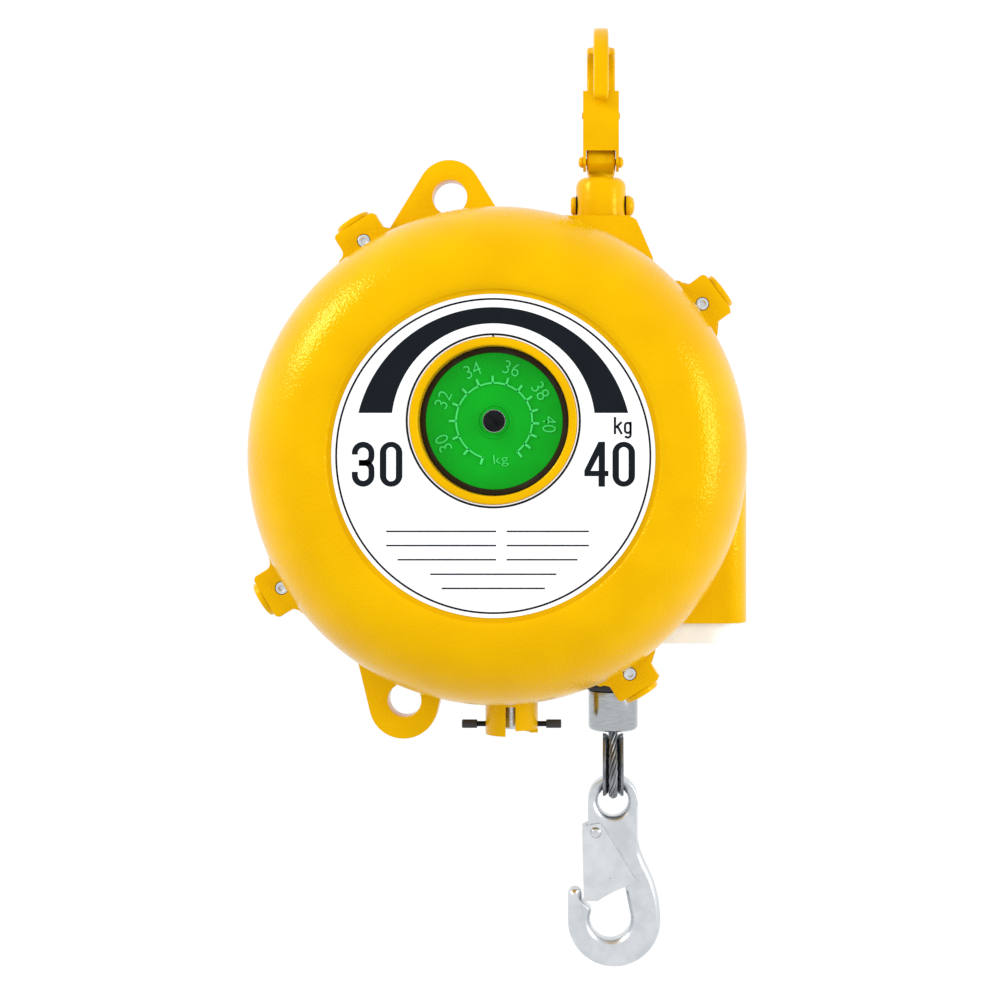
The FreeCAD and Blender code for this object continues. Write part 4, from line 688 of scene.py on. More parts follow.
# ---- repeats
class Kit(Graph):
    """A geometry node tree with named inputs, run on one object."""

    def __init__(self, name: str, **inputs: tuple) -> None:
        """Start the tree.

        Args:
            name: Its name.
            inputs: Each named input's socket type and value, underscores for spaces.
        """
        super().__init__(bpy.data.node_groups.new(name, "GeometryNodeTree"))
        face = self.tree.interface
        for way in ("INPUT", "OUTPUT"):
            face.new_socket("Geometry", in_out=way, socket_type="NodeSocketGeometry")
        self.values = {}
        for key, (kind, value) in inputs.items():
            label = key.replace("_", " ")
            socket = face.new_socket(label, in_out="INPUT", socket_type="NodeSocket" + kind)
            self.values[socket.identifier] = value
        self.start = self.tree.nodes.new("NodeGroupInput")

    def given(self, name: str) -> Socket:
        """Find a named input's socket."""
        return self.start.outputs[name]

    def calc(self, kind: str, *values: Any) -> Socket:
        """One arithmetic step of the kind on the values."""
        inputs = {f"i{i}": value for i, value in enumerate(values)}
        return self.out("ShaderNodeMath", {"operation": kind}, **inputs)

    def vector(self, kind: str, **inputs: Any) -> Socket:
        """One step of the kind on vectors."""
        return self.out("ShaderNodeVectorMath", {"operation": kind}, **inputs)

    def run(
        self, made: Socket, name: str, mesh: Mesh, finish: Finish, *owner: Any, sharp: float = 35.0
    ) -> Piece:
        """End the tree in real geometry with its finish, and run it on a mesh.

        Args:
            made: What the tree has made.
            name: Name of the finished piece.
            mesh: What the tree starts from.
            finish: What the piece is made of.
            owner: Its body and the CAD nodes that it stands for.
            sharp: Edges sharper than this, in degrees, stay sharp.

        Returns:
            The finished piece as a plain mesh.
        """
        real = self.out("GeometryNodeRealizeInstances", Geometry=made)
        flat = self.out("GeometryNodeSetShadeSmooth", Geometry=real, Shade_Smooth=False)
        dressed = self.out("GeometryNodeSetMaterial", Geometry=flat, Material=finish.material())
        self.add("NodeGroupOutput", i0=dressed)
        holder = stand(name + "_holder", mesh)
        modifier = holder.modifiers.new("nodes", "NODES")
        modifier.node_group = self.tree
        for identifier, value in self.values.items():
            modifier[identifier] = value
        result = evaluated(holder)
        holder.modifiers.remove(modifier)
        bpy.data.objects.remove(holder)
        return new_object(name, result, finish, *owner, sharp=sharp)


def points_mesh(places: list[Vector]) -> Mesh:
    """Mesh of loose points.

    Args:
        places: The points in drawing millimetres.

    Returns:
        The mesh.
    """
    mesh = bpy.data.meshes.new("points")
    mesh.from_pydata([place(*p) for p in places], [], [])
    return mesh


def scattered(item: Mesh, places: list[Vector], seed: int, turn: float, *piece: Any) -> None:
    """Repeat one item at several places, each turned a little about the shaft's direction.

    Args:
        item: The item's mesh about the frame's zero.
        places: Where the copies go, in drawing millimetres.
        seed: Seed of the random turn.
        turn: Largest turn in radians.
        piece: Name, finish, body and CAD node of the piece that holds all the copies.
    """
    name, *rest = piece
    master = stand(name + "_master", item)
    kit = Kit(name + "_tree", Item=("Object", master), Turn=("Float", turn), Seed=("Int", seed))
    info = kit.add("GeometryNodeObjectInfo", Object=kit.given("Item"))
    limits = {"i3": kit.given("Turn"), "i8": kit.given("Seed")}
    spin = kit.add("FunctionNodeRandomValue", {"data_type": "FLOAT"}, **limits).outputs[1]
    copies = kit.out(
        "GeometryNodeInstanceOnPoints",
        Points=kit.given("Geometry"),
        Instance=info.outputs["Geometry"],
        Rotation=kit.out("ShaderNodeCombineXYZ", Y=spin),
    )
    kit.run(copies, name, points_mesh(places), *rest)
    bpy.data.objects.remove(master)


# ---- set
@dataclass
class Studio:
    """White surroundings, two soft panels and the camera."""

    distance_mm: float = 1040.0
    lens_mm: float = 66.86
    shift_x: float = -0.101
    shift_y: float = -0.044
    sky: float = 1.02
    panels: tuple = (
        ("side_left", (-900.0, -430.0, 620.0), (420.0, 420.0), 7.0),
        ("side_right", (1100.0, -470.0, 130.0), (320.0, 620.0), 6.0),
    )

    def build(self) -> None:
        """Make the white surroundings, the lights and the camera."""
        world = bpy.data.worlds.new("sky")
        bpy.context.scene.world = world
        world.use_nodes = True
        sky = world.node_tree.nodes["Background"].inputs
        sky["Color"].default_value = (1.0, 1.0, 1.0, 1.0)
        sky["Strength"].default_value = self.sky
        self.lights()
        self.camera()

    def lights(self) -> None:
        """Soft panels left and right, turned to the casing's middle."""
        for name, at, size, watts in self.panels:
            data = bpy.data.lights.new(name, "AREA")
            data.shape = "RECTANGLE"
            data.size, data.size_y = size[0] * MM, size[1] * MM
            data.energy = watts
            light = stand(name, data)
            light.location = place(*at)
            aim = place(0, 0, CASING_Z) - light.location
            light.rotation_euler = aim.to_track_quat("-Z", "Y").to_euler()

    def camera(self) -> None:
        """Level camera in front of the hanger, shifted to frame the whole part."""
        data = bpy.data.cameras.new("camera")
        data.lens = self.lens_mm
        data.sensor_width = 36.0
        data.shift_x = self.shift_x
        data.shift_y = self.shift_y
        data.clip_start = 0.05
        data.clip_end = 20.0
        cam = stand("camera", data)
        cam.location = place(HANGER_X, -self.distance_mm, CASING_Z)
        cam.rotation_euler = (math.radians(90), 0, 0)
        bpy.context.scene.camera = cam
        bpy.context.scene.view_settings.view_transform = "Standard"


# ---- casing
def socket_screw(radius: float = 3.5, height: float = 4.0, key: float = 1.5) -> Mesh:
    """Socket-head screw that points backwards from the frame's zero.

    Args:
        radius: Head radius in millimetres.
        height: Head height.
        key: Half of the hexagon's width across its flats.

    Returns:
        The mesh.
    """
    shank = [(2.0, height + 8.0, 0), (2.0, height, 0)]
    head = [(radius, height, 0), (radius, 0.5, 0), (radius - 0.15, 0.15, 0), (radius - 0.5, 0.0, 0)]
    hexagon = [(key + 0.55, 0.0, 0), (key, 0.25, 6), (key, 2.2, 6)]
    bm = bmesh.new()
    rings = [
        hoop(bm, ORIGIN_MM + Vector((0, depth, 0)), reach, 36, sides)
        for reach, depth, sides in shank + head + hexagon
    ]
    bm.faces.new(rings[0])
    bm.faces.new(rings[-1])
    bridge(bm, rings)
    return as_mesh(bm, True)


@dataclass
class Casing:
    """Front cover, drum housing and what is fixed to them."""

    radius: float = 137.4
    parting_y: float = -5.0
    side_y: float = -25.0
    side_r: float = 136.0
    crest_r: float = 95.0
    crest_y: float = -72.0
    recess_r: float = 87.0
    recess_y: float = -69.0
    ring_outer: float = 43.7
    ring_inner: float = 39.4
    ring_front_y: float = -71.0
    well_y: float = -55.0
    well_bore: float = 9.0
    wall: float = 3.2
    lug_angles: tuple = (36.8, 122.1, 211.3, 301.0)
    lug_flat: float = 151.0
    lug_half: float = 13.0
    lug_corner: float = 2.6
    lug_front_y: float = -17.0
    rim_back_y: float = 3.5
    screw_at: float = 140.0
    counterbore_r: float = 3.75
    bolt_r: float = 10.0
    bolt_h: float = 3.4

    def build(self) -> None:
        """Make every casing piece and set it on the casing."""
        self.cover()
        self.cover_lugs()
        self.bolt_heads()
        copy_of("drum_housing", "drum_housing_casting", YELLOW, Body.CASING, 1.1, 3)
        self.screws()
        copy_of("rope_guide", "nylon_rope_guide", NYLON, Body.CASING, 1.2, 3)
        copy_of("gear_cover", "rear_gear_cover", YELLOW, Body.CASING, 1.0, 3)
        copy_of("gear_cover_screws", "rear_cover_screws", SCREW_STEEL, Body.CASING, 0.3)
        # The dial well seal's dark brown is painted shade.
        copy_of("dial_seal", "dial_well_seal", WELL_SHADE_BROWN, Body.CASING, 0.4)

    def cover(self) -> None:
        """Front cover: turned shell, off-centre dial well and its raised ring."""
        flange = [(self.radius, self.parting_y - y) for y in (0.0, 3.4)]
        flange += [(self.radius - 0.5, self.parting_y - 4.4), (self.side_r, self.parting_y - 5.2)]
        in_r, out_y = self.side_r - self.crest_r, self.crest_y - self.side_y
        bend = arc(0, 0, 1, 0, 90, 32)
        shoulder = [(self.crest_r + in_r * u, self.side_y + out_y * v) for u, v in bend]
        lip = [(4.0, 0.05), (2.0, 0.55), (0.6, 1.5), (0.0, self.recess_y - self.crest_y)]
        dome = flange + shoulder + [(self.recess_r + u, self.crest_y + v) for u, v in lip]
        ring = [(self.ring_outer, self.recess_y), (self.ring_outer, self.ring_front_y)]
        ring += [(self.ring_inner, self.ring_front_y), (self.ring_inner, self.well_y)]
        ring = rounded_profile(ring + [(self.well_bore, self.well_y)], 1.3)
        bm = bmesh.new()
        hoops = [hoop(bm, Vector((0, y, CASING_Z)), radius, 192) for radius, y in dome]
        hoops += [hoop(bm, Vector((0, y, 0)), radius, 192) for radius, y in ring]
        bridge(bm, hoops)
        bmesh.ops.recalc_face_normals(bm, faces=bm.faces)
        crest = place(0, self.crest_y + 3, 0).y
        if sum(f.normal.y for f in bm.faces if f.calc_center_median().y < crest) > 0:
            bmesh.ops.reverse_faces(bm, faces=bm.faces)
        mesh = as_mesh(bm)
        shell = new_object("front_cover_shell", mesh, YELLOW, Body.CASING, "front_cover")
        wall = shell.modifiers.new("wall", "SOLIDIFY")
        wall.thickness = self.wall * MM
        wall.offset = -1.0
        bake(shell, 30.0)

    def lug_outline(self) -> Line:
        """Outline of a corner lug as (outward, sideways), its feet flared into the casing.

        Returns:
            The outline's points.
        """
        half = self.lug_half
        foot = [(self.radius - 2.0, half + 6.5), (self.radius + 0.2, half + 4.6)]
        bend = arc(0, 0, 1, 0, 90, 6)
        flare = [(self.radius + 4.6 - 4.2 * u, half + 4.4 - 4.4 * v) for u, v in bend]
        r = self.lug_corner
        side = foot + flare + arc(self.lug_flat - r, half - r, r, 90, 0, 5)
        return side + [(u, -v) for u, v in reversed(side)]

    def cover_lugs(self) -> None:
        """The cover's four corner lugs, with the screws' counterbores."""
        for i, angle in enumerate(self.lug_angles, 1):
            outline = [spun(point, angle) for point in self.lug_outline()]
            hole = circle(*spun((self.screw_at, 0.0), angle), self.counterbore_r, 40)
            mesh = plate(outline, self.lug_front_y, self.parting_y, hole)
            round_edges(new_object(f"cover_lug_{i}", mesh, YELLOW, Body.CASING), 1.0, 3)

    def bolt_heads(self) -> None:
        """Round painted bolt heads on the lugs' outer faces."""
        r, h = self.bolt_r, self.bolt_h
        profile = rounded_profile([(0, 0), (r, 0), (r, h), (0, h)], 1.1)
        middle = Vector((self.lug_flat, (self.lug_front_y + self.rim_back_y) / 2, 0))
        to, back = Matrix.Translation(place(0, 0, CASING_Z)), Matrix.Translation(-place(0, 0, 0))
        heads = []
        for angle in self.lug_angles:
            heads.append(turned(profile, middle, Axis.X, 64))
            heads[-1].transform(to @ Matrix.Rotation(-math.radians(angle), 4, "Y") @ back)
        join("corner_bolt_heads", heads, YELLOW_STEEL, Body.CASING, "lug_buttons")

    def screws(self) -> None:
        """Socket-head screws in the corner lugs."""
        spots = [spun((self.screw_at, 0.0), angle) for angle in self.lug_angles]
        places = [Vector((x, self.lug_front_y, z)) for x, z in spots]
        piece = ("corner_socket_screws", SCREW_STEEL, Body.CASING, "lug_screws")
        scattered(socket_screw(), places, 7, 1.05, *piece)


# ---- label and dial
@dataclass
class Label:
    """Round white film in the cover's recess, with its scale band, figures and ruled lines."""

    radius: float = 84.7
    hole_r: float = 44.0
    back_y: float = -69.0
    front_y: float = -69.4
    ink: float = 0.05
    band_outer: tuple = (-13.2, 72.6)
    band_inner: tuple = (-2.4, 53.3)
    band_end_z: float = 4.1
    border_r: float = 82.6
    border_w: float = 1.0
    ring_r: float = 45.8
    ring_w: float = 1.1
    figure_h: float = 23.5
    figure_w: float = 11.8
    figure_z: float = -22.7
    figure_side: float = 3.4
    figure_end: float = 2.8
    unit_stroke: float = 1.2
    row_w: float = 0.8
    rows: tuple = (
        (-57.8, ((-56.0, 1.5), (7.0, 50.0))),
        (-65.2, ((-56.0, 1.5), (7.0, 50.0))),
        (-72.6, ((-50.0, 1.5), (7.0, 44.0))),
        (-80.2, ((-33.0, 33.0),)),
        (-87.6, ((-27.0, 27.0),)),
    )

    def build(self) -> None:
        """Make the film and its printing and set them on the casing."""
        outline, hole = circle(0, CASING_Z, self.radius, 180), circle(0, 0, self.hole_r, 120)
        mesh = plate(outline, self.front_y, self.back_y, hole)
        new_object("label_film", mesh, LABEL_FILM, Body.CASING, "front_label")
        join("label_printing", self.printing(), LABEL_INK, Body.CASING)

    def flat(self, outline: Line, *holes: Line) -> Mesh:
        """A printed shape: a very thin plate on the film."""
        return plate(outline, self.front_y - self.ink, self.front_y, *holes)

    def band(self) -> Mesh:
        """The scale band: a crescent between two circles that don't share a centre.

        Returns:
            The mesh.
        """
        sides = []
        for centre_z, radius in (self.band_outer, self.band_inner):
            end = math.degrees(math.asin((self.band_end_z - centre_z) / radius))
            sides.append(arc(0, centre_z, radius, end, 180 - end, 96))
        return self.flat(sides[0] + sides[1][::-1])

    def hoop(self, centre_z: float, radius: float, width: float) -> Mesh:
        """A thin printed circle."""
        return self.flat(circle(0, centre_z, radius, 160), circle(0, centre_z, radius - width, 160))

    def bar(self, x: float, z: float, width: float, height: float) -> Mesh:
        """A printed bar about its middle."""
        w, h = width / 2, height / 2
        return self.flat([(x - w, z - h), (x + w, z - h), (x + w, z + h), (x - w, z + h)])

    def stroke(self, line: Line, width: float) -> Mesh:
        """A printed line of one width.

        Args:
            line: Points along its middle, round its bends.
            width: Its width.

        Returns:
            The mesh.
        """
        left, right = [], []
        for i, point in enumerate(line):
            along = Vector(line[min(i + 1, len(line) - 1)]) - Vector(line[max(i - 1, 0)])
            side = Vector((-along.y, along.x)).normalized() * width / 2
            left.append((point[0] + side.x, point[1] + side.y))
            right.append((point[0] - side.x, point[1] - side.y))
        return self.flat(left + right[::-1])

    def stadium(self, x: float, z: float, half_w: float, half_h: float) -> Line:
        """Outline with straight sides and half-round ends, about its middle."""
        top, low = z + half_h - half_w, z - half_h + half_w
        return arc(x, top, half_w, 0, 180, 24) + arc(x, low, half_w, 180, 360, 24)

    def oval(self, x: float, z: float, half: Point, side: float, end: float) -> Mesh:
        """A stadium with a hollow: side and end are its strokes at the sides and the ends."""
        hollow = self.stadium(x, z, half[0] - side, half[1] - end)
        return self.flat(self.stadium(x, z, *half), hollow)

    def zero(self, x: float) -> Mesh:
        """The figure 0."""
        half = (self.figure_w / 2, self.figure_h / 2)
        return self.oval(x, self.figure_z, half, self.figure_side, self.figure_end)

    def three(self, x: float) -> list[Mesh]:
        """The figure 3: two bowls that share its middle bar.

        Args:
            x: Its middle's X.

        Returns:
            The two strokes.
        """
        width = (self.figure_side + self.figure_end) / 2
        a = (self.figure_w - width) / 2
        bowl = self.figure_h / 2 - width / 2 - a
        bend, z = 3.5, self.figure_z
        turn_x, bar_z = x + a - bend, z + 0.7
        bar = [(x - 2.3, bar_z)]
        upper = arc(x, z + bowl, a, 180, 0, 24) + arc(turn_x, bar_z + bend, bend, 0, -90, 12)
        lower = arc(turn_x, bar_z - bend, bend, 90, 0, 12) + arc(x, z - bowl, a, 0, -180, 24)
        lines = ([(x - a, z + bowl - 0.8)] + upper + bar, bar + lower + [(x - a, z - bowl + 1.9)])
        return [self.stroke(line, width) for line in lines]

    def four(self, x: float) -> Mesh:
        """The figure 4: a stem, a crossbar and a slope that closes a triangle.

        Args:
            x: Its middle's X.

        Returns:
            The mesh.
        """
        w, h, z = self.figure_w / 2 + 0.4, self.figure_h / 2, self.figure_z
        right = x + w - 1.8
        left = right - self.figure_side
        low = z - h + 5.5
        high = low + self.figure_end
        top = [(left, z + h), (right, z + h), (right, high), (x + w, high), (x + w, low)]
        foot = [(right, low), (right, z - h), (left, z - h), (left, low)]
        hollow = [(left + 0.1, z + 4.6), (left + 0.1, high), (x - w + 3.3, high)]
        return self.flat(top + foot + [(x - w, low), (x - w, high + 0.2)], hollow)

    def unit(self, x: float, z: float) -> list[Mesh]:
        """The unit kg in thin strokes.

        Args:
            x: Its middle's X.
            z: Its middle's Z.

        Returns:
            The strokes.
        """
        t = self.unit_stroke
        bowl_x, half_w, half_h = x + 2.6, 2.05, 3.2
        stem_x = bowl_x + half_w - t / 2
        hook = arc(bowl_x, z - 3.6, half_w - t / 2, 0, -155, 16)
        return [
            self.bar(x - 4.1, z + 1.2, t, 9.0),
            self.stroke([(x - 3.6, z + 0.1), (x - 0.6, z + 3.1)], t),
            self.stroke([(x - 2.9, z + 1.0), (x - 0.5, z - 3.3)], t),
            self.oval(bowl_x, z, (half_w, half_h), t, t),
            self.stroke([(stem_x, z + half_h), (stem_x, z - 3.0)] + hook, t),
        ]

    def printing(self) -> list[Mesh]:
        """Everything printed on the film.

        Returns:
            The meshes.
        """
        prints = [
            self.band(),
            self.hoop(CASING_Z, self.border_r, self.border_w),
            self.hoop(0.0, self.ring_r, self.ring_w),
            self.bar(0.0, self.ring_r - 0.9, 1.0, 1.8),
        ]
        prints += self.three(-68.0) + [self.zero(-53.4), self.four(53.9), self.zero(68.2)]
        prints += self.unit(67.7, -3.7)
        for z, spans in self.rows:
            prints += [self.bar((a + b) / 2, z, b - a, self.row_w) for a, b in spans]
        return prints


def letters(text: str, centre: Point, y: float, size: Point, turn: float, depth: float) -> Mesh:
    """Raised figures facing the front.

    Args:
        text: The figures.
        centre: X, Z of their middle in drawing millimetres.
        y: Plane that they stand on; they rise towards the front.
        size: Width and height of the whole word in millimetres.
        turn: Degrees counter-clockwise.
        depth: Height of the relief in millimetres.

    Returns:
        The mesh, in frame metres.
    """
    curve = bpy.data.curves.new("figures", "FONT")
    curve.body = text
    curve.resolution_u = 6
    holder = stand("figures_holder", curve)
    bpy.context.view_layer.update()
    plain = holder.dimensions
    curve.offset = -0.2 / (size[0] / plain.x + size[1] / plain.y)
    curve.extrude = 0.5
    mesh = evaluated(holder)
    bpy.data.objects.remove(holder)
    low = Vector([min(v.co[i] for v in mesh.vertices) for i in range(3)])
    high = Vector([max(v.co[i] for v in mesh.vertices) for i in range(3)])
    a = math.radians(turn)
    for vert in mesh.vertices:
        share = [(vert.co[i] - low[i]) / (high[i] - low[i]) for i in range(3)]
        u, v = (share[0] - 0.5) * size[0], (share[1] - 0.5) * size[1]
        x = centre[0] + u * math.cos(a) - v * math.sin(a)
        z = centre[1] + u * math.sin(a) + v * math.cos(a)
        vert.co = place(x, y - share[2] * depth, z)
    bm = bmesh.new()
    bm.from_mesh(mesh)
    return as_mesh(bm, True)


@dataclass
class Dial:
    """Green dial in its well: disc, scale ring with ticks, raised figures and screw."""

    radius: float = 36.1
    bore_r: float = 6.0
    front_y: float = -61.0
    back_y: float = -58.0
    hub_r: float = 7.8
    hub_front: float = -62.0
    scale_r: float = 19.6
    scale_w: float = 1.0
    rise: float = 0.8
    sink: float = 0.2
    tick_outer: float = 24.0
    tick_w: float = 1.3
    low: int = 28
    high: int = 43
    middle: int = 35
    middle_angle: float = 92.0
    step: float = 20.67
    taper: float = 0.326
    figure_r: float = 29.2
    figure_size: tuple = (8.6, 7.0)
    unit_at: tuple = (3.6, -20.8)
    unit_size: tuple = (7.8, 6.4)

    def build(self) -> None:
        """Make the dial's pieces and set them on the tension set."""
        self.disc()
        self.scale()
        self.ticks()
        self.figures()
        copy_of("dial_screw", "dial_screw_slotted", DARK_STEEL, Body.TENSION, 0.25)

    def angle(self, value: float) -> float:
        """Angle of a value on the dial, in degrees counter-clockwise from the right."""
        n = value - self.middle
        return self.middle_angle - self.step * n + self.taper * n * n

    def disc(self) -> None:
        """Moulded disc with its hub and the ring round the screw."""
        hub, front = self.hub_r, self.front_y
        rim = [(self.bore_r, self.back_y), (self.radius, self.back_y), (self.radius, front)]
        ring = [
            (hub + 1.4, front), (hub + 1.4, front - 0.7), (hub + 0.2, front - 0.7),
            (hub + 0.2, front - 0.25), (hub - 1.0, front - 0.25),
        ]
        bore = [(hub - 1.2, self.hub_front), (self.bore_r, self.hub_front), rim[0]]
        profile = rounded_profile(rim + ring + bore, 0.35)[:-1]
        mesh = turned(profile, Vector((0, 0, 0)), Axis.Y, 144)
        new_object("dial_disc", mesh, DIAL_GREEN, Body.TENSION, "tension_dial")

    def scale(self) -> None:
        """Raised open ring that carries the ticks."""
        start, end = self.angle(self.high) - 1.5, self.angle(self.low) + 1.5
        outer = arc(0, 0, self.scale_r + self.scale_w, start, end, 128)
        outline = outer + arc(0, 0, self.scale_r, end, start, 128)
        mesh = plate(outline, self.front_y - self.rise, self.front_y + self.sink)
        # The scale ring's lighter green is a painted highlight on the relief.
        round_edges(new_object("dial_scale_ring", mesh, DIAL_RELIEF_HIGHLIGHT, Body.TENSION), 0.18)

    def ticks(self) -> None:
        """Ticks at their uneven angles, by a node tree."""
        kit = Kit(
            "dial_tick_tree",
            Count=("Int", self.high - self.low + 1),
            First=("Float", float(self.low - self.middle)),
            Middle_Angle=("Float", math.radians(self.middle_angle)),
            Step=("Float", math.radians(self.step)),
            Taper=("Float", math.radians(self.taper)),
            Inner=("Float", self.scale_r * MM),
            Outer=("Float", self.tick_outer * MM),
            Width=("Float", self.tick_w * MM),
            Rise=("Float", (self.rise + self.sink) * MM),
            Centre=("Vector", tuple(place(0, self.front_y - (self.rise - self.sink) / 2, 0))),
        )
        given, calc = kit.given, kit.calc
        n = calc("ADD", kit.out("GeometryNodeInputIndex"), given("First"))
        even = calc("SUBTRACT", given("Middle Angle"), calc("MULTIPLY", n, given("Step")))
        angle = calc("ADD", even, calc("MULTIPLY", calc("MULTIPLY", n, n), given("Taper")))
        reach = calc("DIVIDE", calc("ADD", given("Inner"), given("Outer")), 2.0)
        spot = kit.out(
            "ShaderNodeCombineXYZ",
            X=calc("MULTIPLY", reach, calc("COSINE", angle)),
            Z=calc("MULTIPLY", reach, calc("SINE", angle)),
        )
        line = kit.out("GeometryNodeMeshLine", Count=given("Count"))
        at = kit.vector("ADD", i0=spot, i1=given("Centre"))
        length = calc("SUBTRACT", given("Outer"), given("Inner"))
        size = kit.out("ShaderNodeCombineXYZ", X=length, Y=given("Rise"), Z=given("Width"))
        copies = kit.out(
            "GeometryNodeInstanceOnPoints",
            Points=kit.out("GeometryNodeSetPosition", Geometry=line, Position=at),
            Instance=kit.out("GeometryNodeMeshCube", Size=size),
            Rotation=kit.out("ShaderNodeCombineXYZ", Y=calc("MULTIPLY", angle, -1.0)),
        )
        start = points_mesh([Vector((0, 0, 0))])
        # The ticks' lighter green is a painted highlight on the relief.
        round_edges(kit.run(copies, "dial_ticks", start, DIAL_RELIEF_HIGHLIGHT, Body.TENSION), 0.15)

    def figures(self) -> None:
        """Raised figures, their tops outwards, and the unit."""
        foot = self.front_y + 0.1
        meshes = []
        for value in range(30, 41, 2):
            a = self.angle(value)
            spot = arc(0, 0, self.figure_r, a, a, 1)[0]
            meshes.append(letters(str(value), spot, foot, self.figure_size, a - 90, 0.7))
        meshes.append(letters("kg", self.unit_at, foot, self.unit_size, 5.0, 0.55))
        # The figures' lighter green is a painted highlight on the relief.
        join("dial_figures", meshes, DIAL_RELIEF_HIGHLIGHT, Body.TENSION)


# ---- suspension, rope and load
@dataclass
class Suspension:
    """Safety hook, its latch, the yoke that turns in the casing and their pin."""

    hook_voxel: float = 0.55
    hook_softness: int = 34

    def build(self) -> None:
        """Make the suspension and set it on its bodies."""
        body = Body.SUSPENSION
        hook = copy_of("top_hook", "top_hook_forging", HOOK_PAINT, body)
        forge(hook, self.hook_voxel, self.hook_softness)
        copy_of("top_latch_rivet", "top_latch_pin", HOOK_PAINT, body, 0.3)
        copy_of("top_latch", "top_latch_plate", HOOK_PAINT, Body.TOP_GATE, 0.4)
        body = Body.SWIVEL
        copy_of("yoke", "swivel_yoke", HOOK_PAINT, body, 0.9, 3)
        copy_of("yoke_pin", "yoke_cross_pin", HOOK_PAINT, body, 0.4)
        # The washers' black oxide is painted shade for the dark gap between the yoke and the pin
        # heads.
        copy_of("yoke_pin_washers", "yoke_pin_washer_pair", DARK_STEEL, body, 0.15, 1)
        for node in ("swivel_washer", "swivel_nut"):
            dress(node, TURNED)


@dataclass
class Rope:
    """Wire rope: six strands round a core, along a route that ends in the thimble's loop."""

    radius: float = 2.6
    strands: int = 6
    press: float = 1.04
    lay_mm: float = 34.0
    step_mm: float = 1.1
    top_z: float = -2.0
    leg: float = 4.2
    stretch_from: float = -106.0
    stretch_to: float = -124.0

    def route(self) -> Line:
        """Control points of the rope's line as (offset behind the rope's axis, height).

        Returns:
            The points.
        """
        down = [(0.0, z) for z in (self.top_z, -40.0, -80.0, -120.0, -150.0, -158.0)]
        bow = [
            (-self.leg, -172.0), (-self.leg - 0.4, -178.0), (-10.5, -186.0), (-14.9, -193.0),
            (-14.4, -203.2), (-8.6, -209.7),
        ]
        back = [(-offset, z) for offset, z in reversed(bow)]
        return down + [(-self.leg, -165.0)] + bow + [(0.0, -212.1)] + back + [(self.leg, -163.0)]

    def build(self) -> None:
        """Make the rope along its route; the real one pays out where it leaves the casing."""
        curve = bpy.data.curves.new("rope_route", "CURVE")
        curve.dimensions = "3D"
        spline = curve.splines.new("NURBS")
        route = self.route()
        spline.points.add(len(route) - 1)
        for point, (offset, z) in zip(spline.points, route):
            point.co = (*place(ROPE_X, ROPE_Y + offset, z), 1.0)
        spline.order_u = 3
        spline.use_endpoint_u = True
        curve.resolution_u = 24
        holder = stand("rope_route", curve)
        line = evaluated(holder)
        bpy.data.objects.remove(holder)
        rope = self.stranded(line)
        start, end = (tuple(place(ROPE_X, ROPE_Y, z)) for z in (self.stretch_from, self.stretch_to))
        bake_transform(rope)

    def stranded(self, line: Mesh) -> Piece:
        """Wind the strands round the line by a node tree.

        Args:
            line: The rope's line as a mesh of edges.

        Returns:
            The rope.
        """
        kit = Kit(
            "rope_tree",
            Strands=("Int", self.strands),
            Strand_Radius=("Float", self.radius / 3 * self.press * MM),
            Winding_Radius=("Float", self.radius * 2 / 3 * MM),
            Lay=("Float", self.lay_mm * MM),
            Step=("Float", self.step_mm * MM),
        )
        given, calc = kit.given, kit.calc
        curve = kit.out("GeometryNodeMeshToCurve", Mesh=given("Geometry"))
        length = {"mode": "LENGTH"}
        even = kit.out("GeometryNodeResampleCurve", length, Curve=curve, Length=given("Step"))
        many = {"Geometry": even, "Amount": given("Strands")}
        copies = kit.add("GeometryNodeDuplicateElements", {"domain": "SPLINE"}, **many)
        share = calc("DIVIDE", copies.outputs["Duplicate Index"], given("Strands"))
        along = kit.add("GeometryNodeSplineParameter").outputs["Length"]
        turns = calc("ADD", share, calc("DIVIDE", along, given("Lay")))
        angle = calc("MULTIPLY", turns, 2 * math.pi)
        normal = kit.out("GeometryNodeInputNormal")
        side = kit.vector("CROSS_PRODUCT", i0=kit.out("GeometryNodeInputTangent"), i1=normal)
        first = kit.vector("SCALE", i0=normal, Scale=calc("COSINE", angle))
        second = kit.vector("SCALE", i0=side, Scale=calc("SINE", angle))
        spoke = kit.vector("ADD", i0=first, i1=second)
        offset = kit.vector("SCALE", i0=spoke, Scale=given("Winding Radius"))
        paths = copies.outputs["Geometry"]
        wound = kit.out("GeometryNodeSetPosition", Geometry=paths, Offset=offset)
        thick = {"Resolution": 8, "Radius": given("Strand Radius")}
        outer = kit.out("GeometryNodeCurvePrimitiveCircle", **thick)
        whole = kit.add("GeometryNodeJoinGeometry")
        for path in (wound, even):
            tube = {"Curve": path, "Profile_Curve": outer, "Fill_Caps": True}
            kit.tree.links.new(kit.out("GeometryNodeCurveToMesh", **tube), whole.inputs[0])
        piece = ("stranded_wire_rope", line, ROPE_WIRE, None, "wire_rope")
        return kit.run(whole.outputs[0], *piece, sharp=50.0)


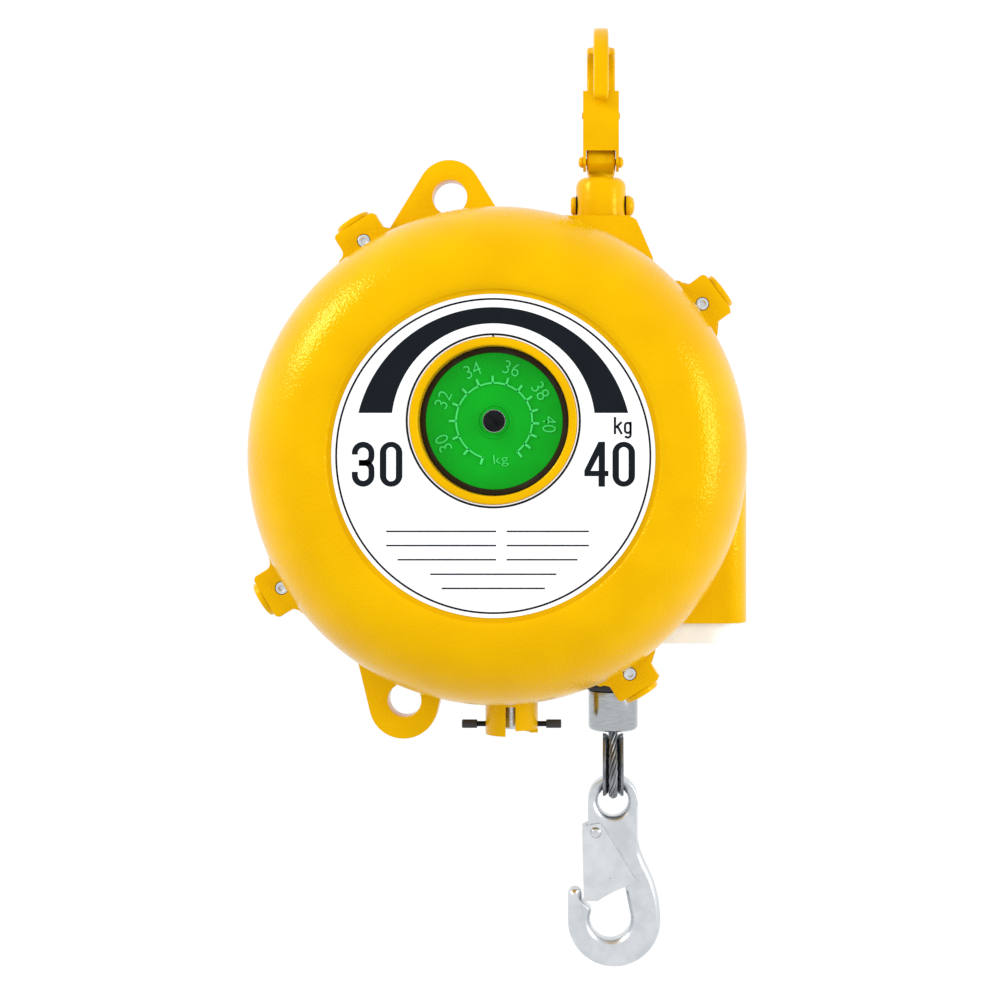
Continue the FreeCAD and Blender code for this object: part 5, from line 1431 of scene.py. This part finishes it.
@dataclass
class LoadEnd:
    """Rubber bumper, pressed ferrule, thimble, and the load hook with its latch."""

    bumper_bore: float = 2.7
    bumper_r: float = 17.8
    bumper_top: float = -124.3
    bumper_low: float = -151.3
    bumper_round: float = 3.2
    hook_voxel: float = 0.5
    hook_softness: int = 6

    def bumper(self) -> None:
        """Rubber bumper on the rope."""
        start = (self.bumper_bore, self.bumper_top)
        outside = [(self.bumper_r, self.bumper_top), (self.bumper_r, self.bumper_low)]
        corners = [start, *outside, (self.bumper_bore, self.bumper_low), start]
        profile = rounded_profile(corners, self.bumper_round, 8)[:-1]
        mesh = turned(profile, Vector((ROPE_X, ROPE_Y, 0)), Axis.Z, 96)
        new_object("rope_bumper_rubber", mesh, RUBBER, Body.ROPE, "rope_bumper")

    def build(self) -> None:
        """Make the load end and set it on its bodies."""
        self.bumper()
        copy_of("rope_ferrule", "pressed_rope_ferrule", PRESSED_ALUMINIUM, Body.ROPE, 0.35)
        copy_of("thimble", "rope_thimble", THIMBLE_STEEL, Body.ROPE, 0.3)
        hook = copy_of("load_hook", "load_hook_forging", ZINC, Body.LOAD_HOOK)
        forge(hook, self.hook_voxel, self.hook_softness)
        copy_of("load_latch_rivet", "load_latch_pin", SCREW_STEEL, Body.LOAD_HOOK, 0.35)
        copy_of("load_latch", "load_latch_plate", ZINC_SHEET, Body.LOAD_GATE, 0.35)


class DrumLock:
    """Pull plunger, its spring, the cross pin and the pin's rubber caps."""

    def build(self) -> None:
        """Make the lock and set it on the lock's body."""
        copy_of("lock_plunger", "lock_plunger_rod", TURNED, Body.LOCK, 0.3)
        copy_of("lock_cross_pin", "lock_pull_pin", DARK_STEEL, Body.LOCK, 0.2)
        copy_of("lock_pin_caps", "lock_pin_rubber_caps", RUBBER, Body.LOCK, 0.6, 3)
        dress("lock_spring", SPRING_STRIP)


class Internals:
    """Pieces inside the casing, which keep their CAD shape and get their finish."""

    finishes = (
        (TURNED, ("main_shaft", "spring_arbor", "shaft_keys", "worm")),
        (TURNED, ("front_bearing_inner", "front_bearing_outer")),
        (TURNED, ("rear_bearing_inner", "rear_bearing_outer")),
        (BRONZE, ("worm_wheel", "front_bush", "rear_bush", "worm_bushes")),
        (SPRING_STRIP, ("shaft_clips", "mainspring")),
        (CAST_ALUMINIUM, ("spring_case", "spring_lid", "rope_drum")),
        (SCREW_STEEL, ("drum_bolts",)),
        (ROPE_WIRE, ("wound_rope",)),
    )

    def build(self) -> None:
        """Dress every hidden node."""
        for finish, nodes in self.finishes:
            for node in nodes:
                dress(node, finish)


def main() -> None:
    """Build the balancer, the set and the camera, and log every piece."""
    logging.basicConfig(level=logging.INFO, format="%(name)s: %(message)s")
    parts = (Casing, Label, Dial, Suspension, Rope, LoadEnd, DrumLock, Internals, Studio)
    for part in parts:
        part().build()
    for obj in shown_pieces():
        LOG.info("piece %s, %d faces", obj.name, len(obj.data.polygons))


if __name__ == "__main__":
    main()
